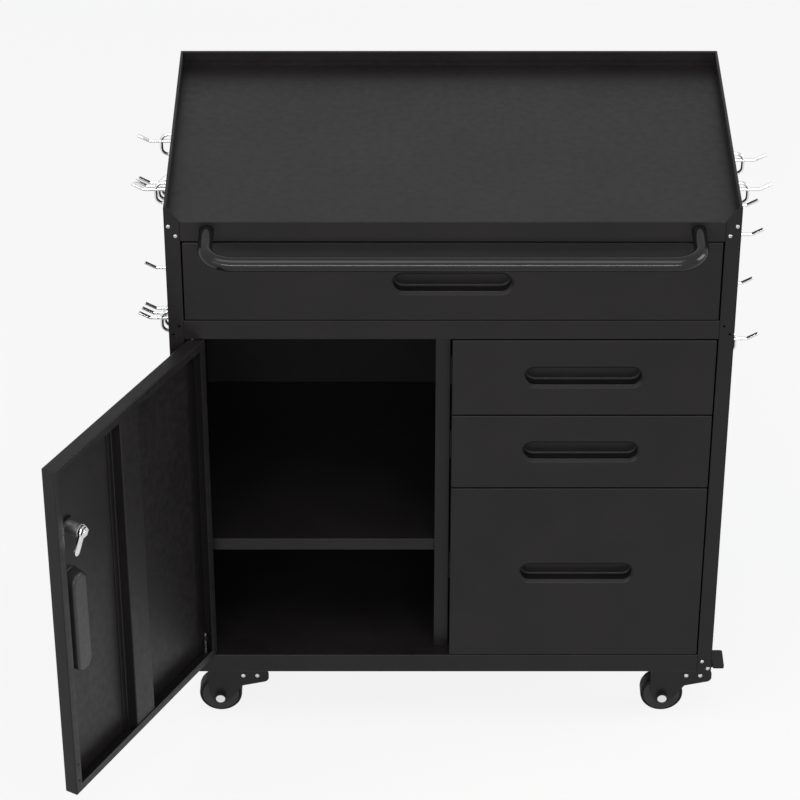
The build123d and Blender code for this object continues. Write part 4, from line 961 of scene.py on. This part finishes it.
pale, pale_tree, pale_shader = new_finish("pale_floor", (0.10, 0.10, 0.10), 0.9)
pale_shader.inputs["Specular IOR Level"].default_value = 0.0
paper = between(pale_tree, noise(pale_tree, 0.8, 2.0), (0.092, 0.096, 0.096), (0.102, 0.102, 0.098))
pale_tree.links.new(paper, pale_shader.inputs["Base Color"])
lift = pale_tree.nodes.new("ShaderNodeMath")
lift.operation = "MULTIPLY"
lift.inputs[1].default_value = FLOOR_GLOW
pale_tree.links.new(seen_rays(pale_tree), lift.inputs[0])
pale_shader.inputs["Emission Color"].default_value = (1.0, 1.0, 1.0, 1.0)
pale_tree.links.new(lift.outputs[0], pale_shader.inputs["Emission Strength"])
floor_mesh.materials.append(pale)

world = bpy.data.worlds.new("studio_world")
bpy.context.scene.world = world
world.use_nodes = True
sky_tree = world.node_tree
sky = sky_tree.nodes["Background"]
sky.inputs["Color"].default_value = (0.96, 0.98, 1.0, 1.0)
sky_strength = between(sky_tree, seen_rays(sky_tree), SKY_LIGHT, SKY_SEEN, start=0.0, stop=1.0)
sky_tree.links.new(sky_strength, sky.inputs["Strength"])
bpy.context.scene.view_settings.view_transform = "Standard"
print("floor and world made")

# %% [markdown]
# Four soft lamps do the rest: a large one overhead lights the tray, one from the left front the posts, one
# from the right the inside of the open door, and a long low strip in front draws the band of light on the
# handle. Area lamps are used because their size sets how soft a highlight is.

# %% Lamps
def softbox(name, place, aim, size, power):
    """Rectangular lamp in watts at a place, turned to a point."""
    lamp = bpy.data.lights.new(name, "AREA")
    lamp.shape = "RECTANGLE"
    lamp.size, lamp.size_y = size
    lamp.energy = power
    holder = bpy.data.objects.new(name, lamp)
    bpy.context.scene.collection.objects.link(holder)
    holder.location = place
    holder.rotation_euler = (Vector(aim) - Vector(place)).to_track_quat("-Z", "Y").to_euler()


softbox("overhead_softbox", (-0.3, -0.9, 3.3), (0.0, 0.1, 0.6), (3.6, 1.5), 42.0)
softbox("front_left_softbox", (-2.8, -2.2, 1.7), (0.0, 0.0, 0.45), (1.8, 1.8), 9.0)
softbox("right_fill", (3.4, 0.1, 1.4), (-0.45, -0.4, 0.45), (1.6, 1.6), 52.0)
softbox("front_strip", (-0.4, -3.9, 1.75), (0.0, -0.29, 0.84), (4.6, 0.30), 78.0)
print("four lamps")

# %% [markdown]
# The camera stands where the photograph was taken from: almost square to the front, a little to the left,
# looking down 34.7 degrees with a long lens. Its numbers come from fitting the straight edges of the cabinet.

# %% Camera
lens = bpy.data.cameras.new("studio_camera")
lens.sensor_width = 36.0
lens.lens = 147.11
lens.clip_end = 100.0
camera = bpy.data.objects.new("studio_camera", lens)
bpy.context.scene.collection.objects.link(camera)
camera.location = (-0.0685, -3.824059, 3.073586)
camera.rotation_euler = (radians(55.295), 0.0, 0.0)
bpy.context.scene.camera = camera
print("lens", round(lens.lens, 2), "mm")
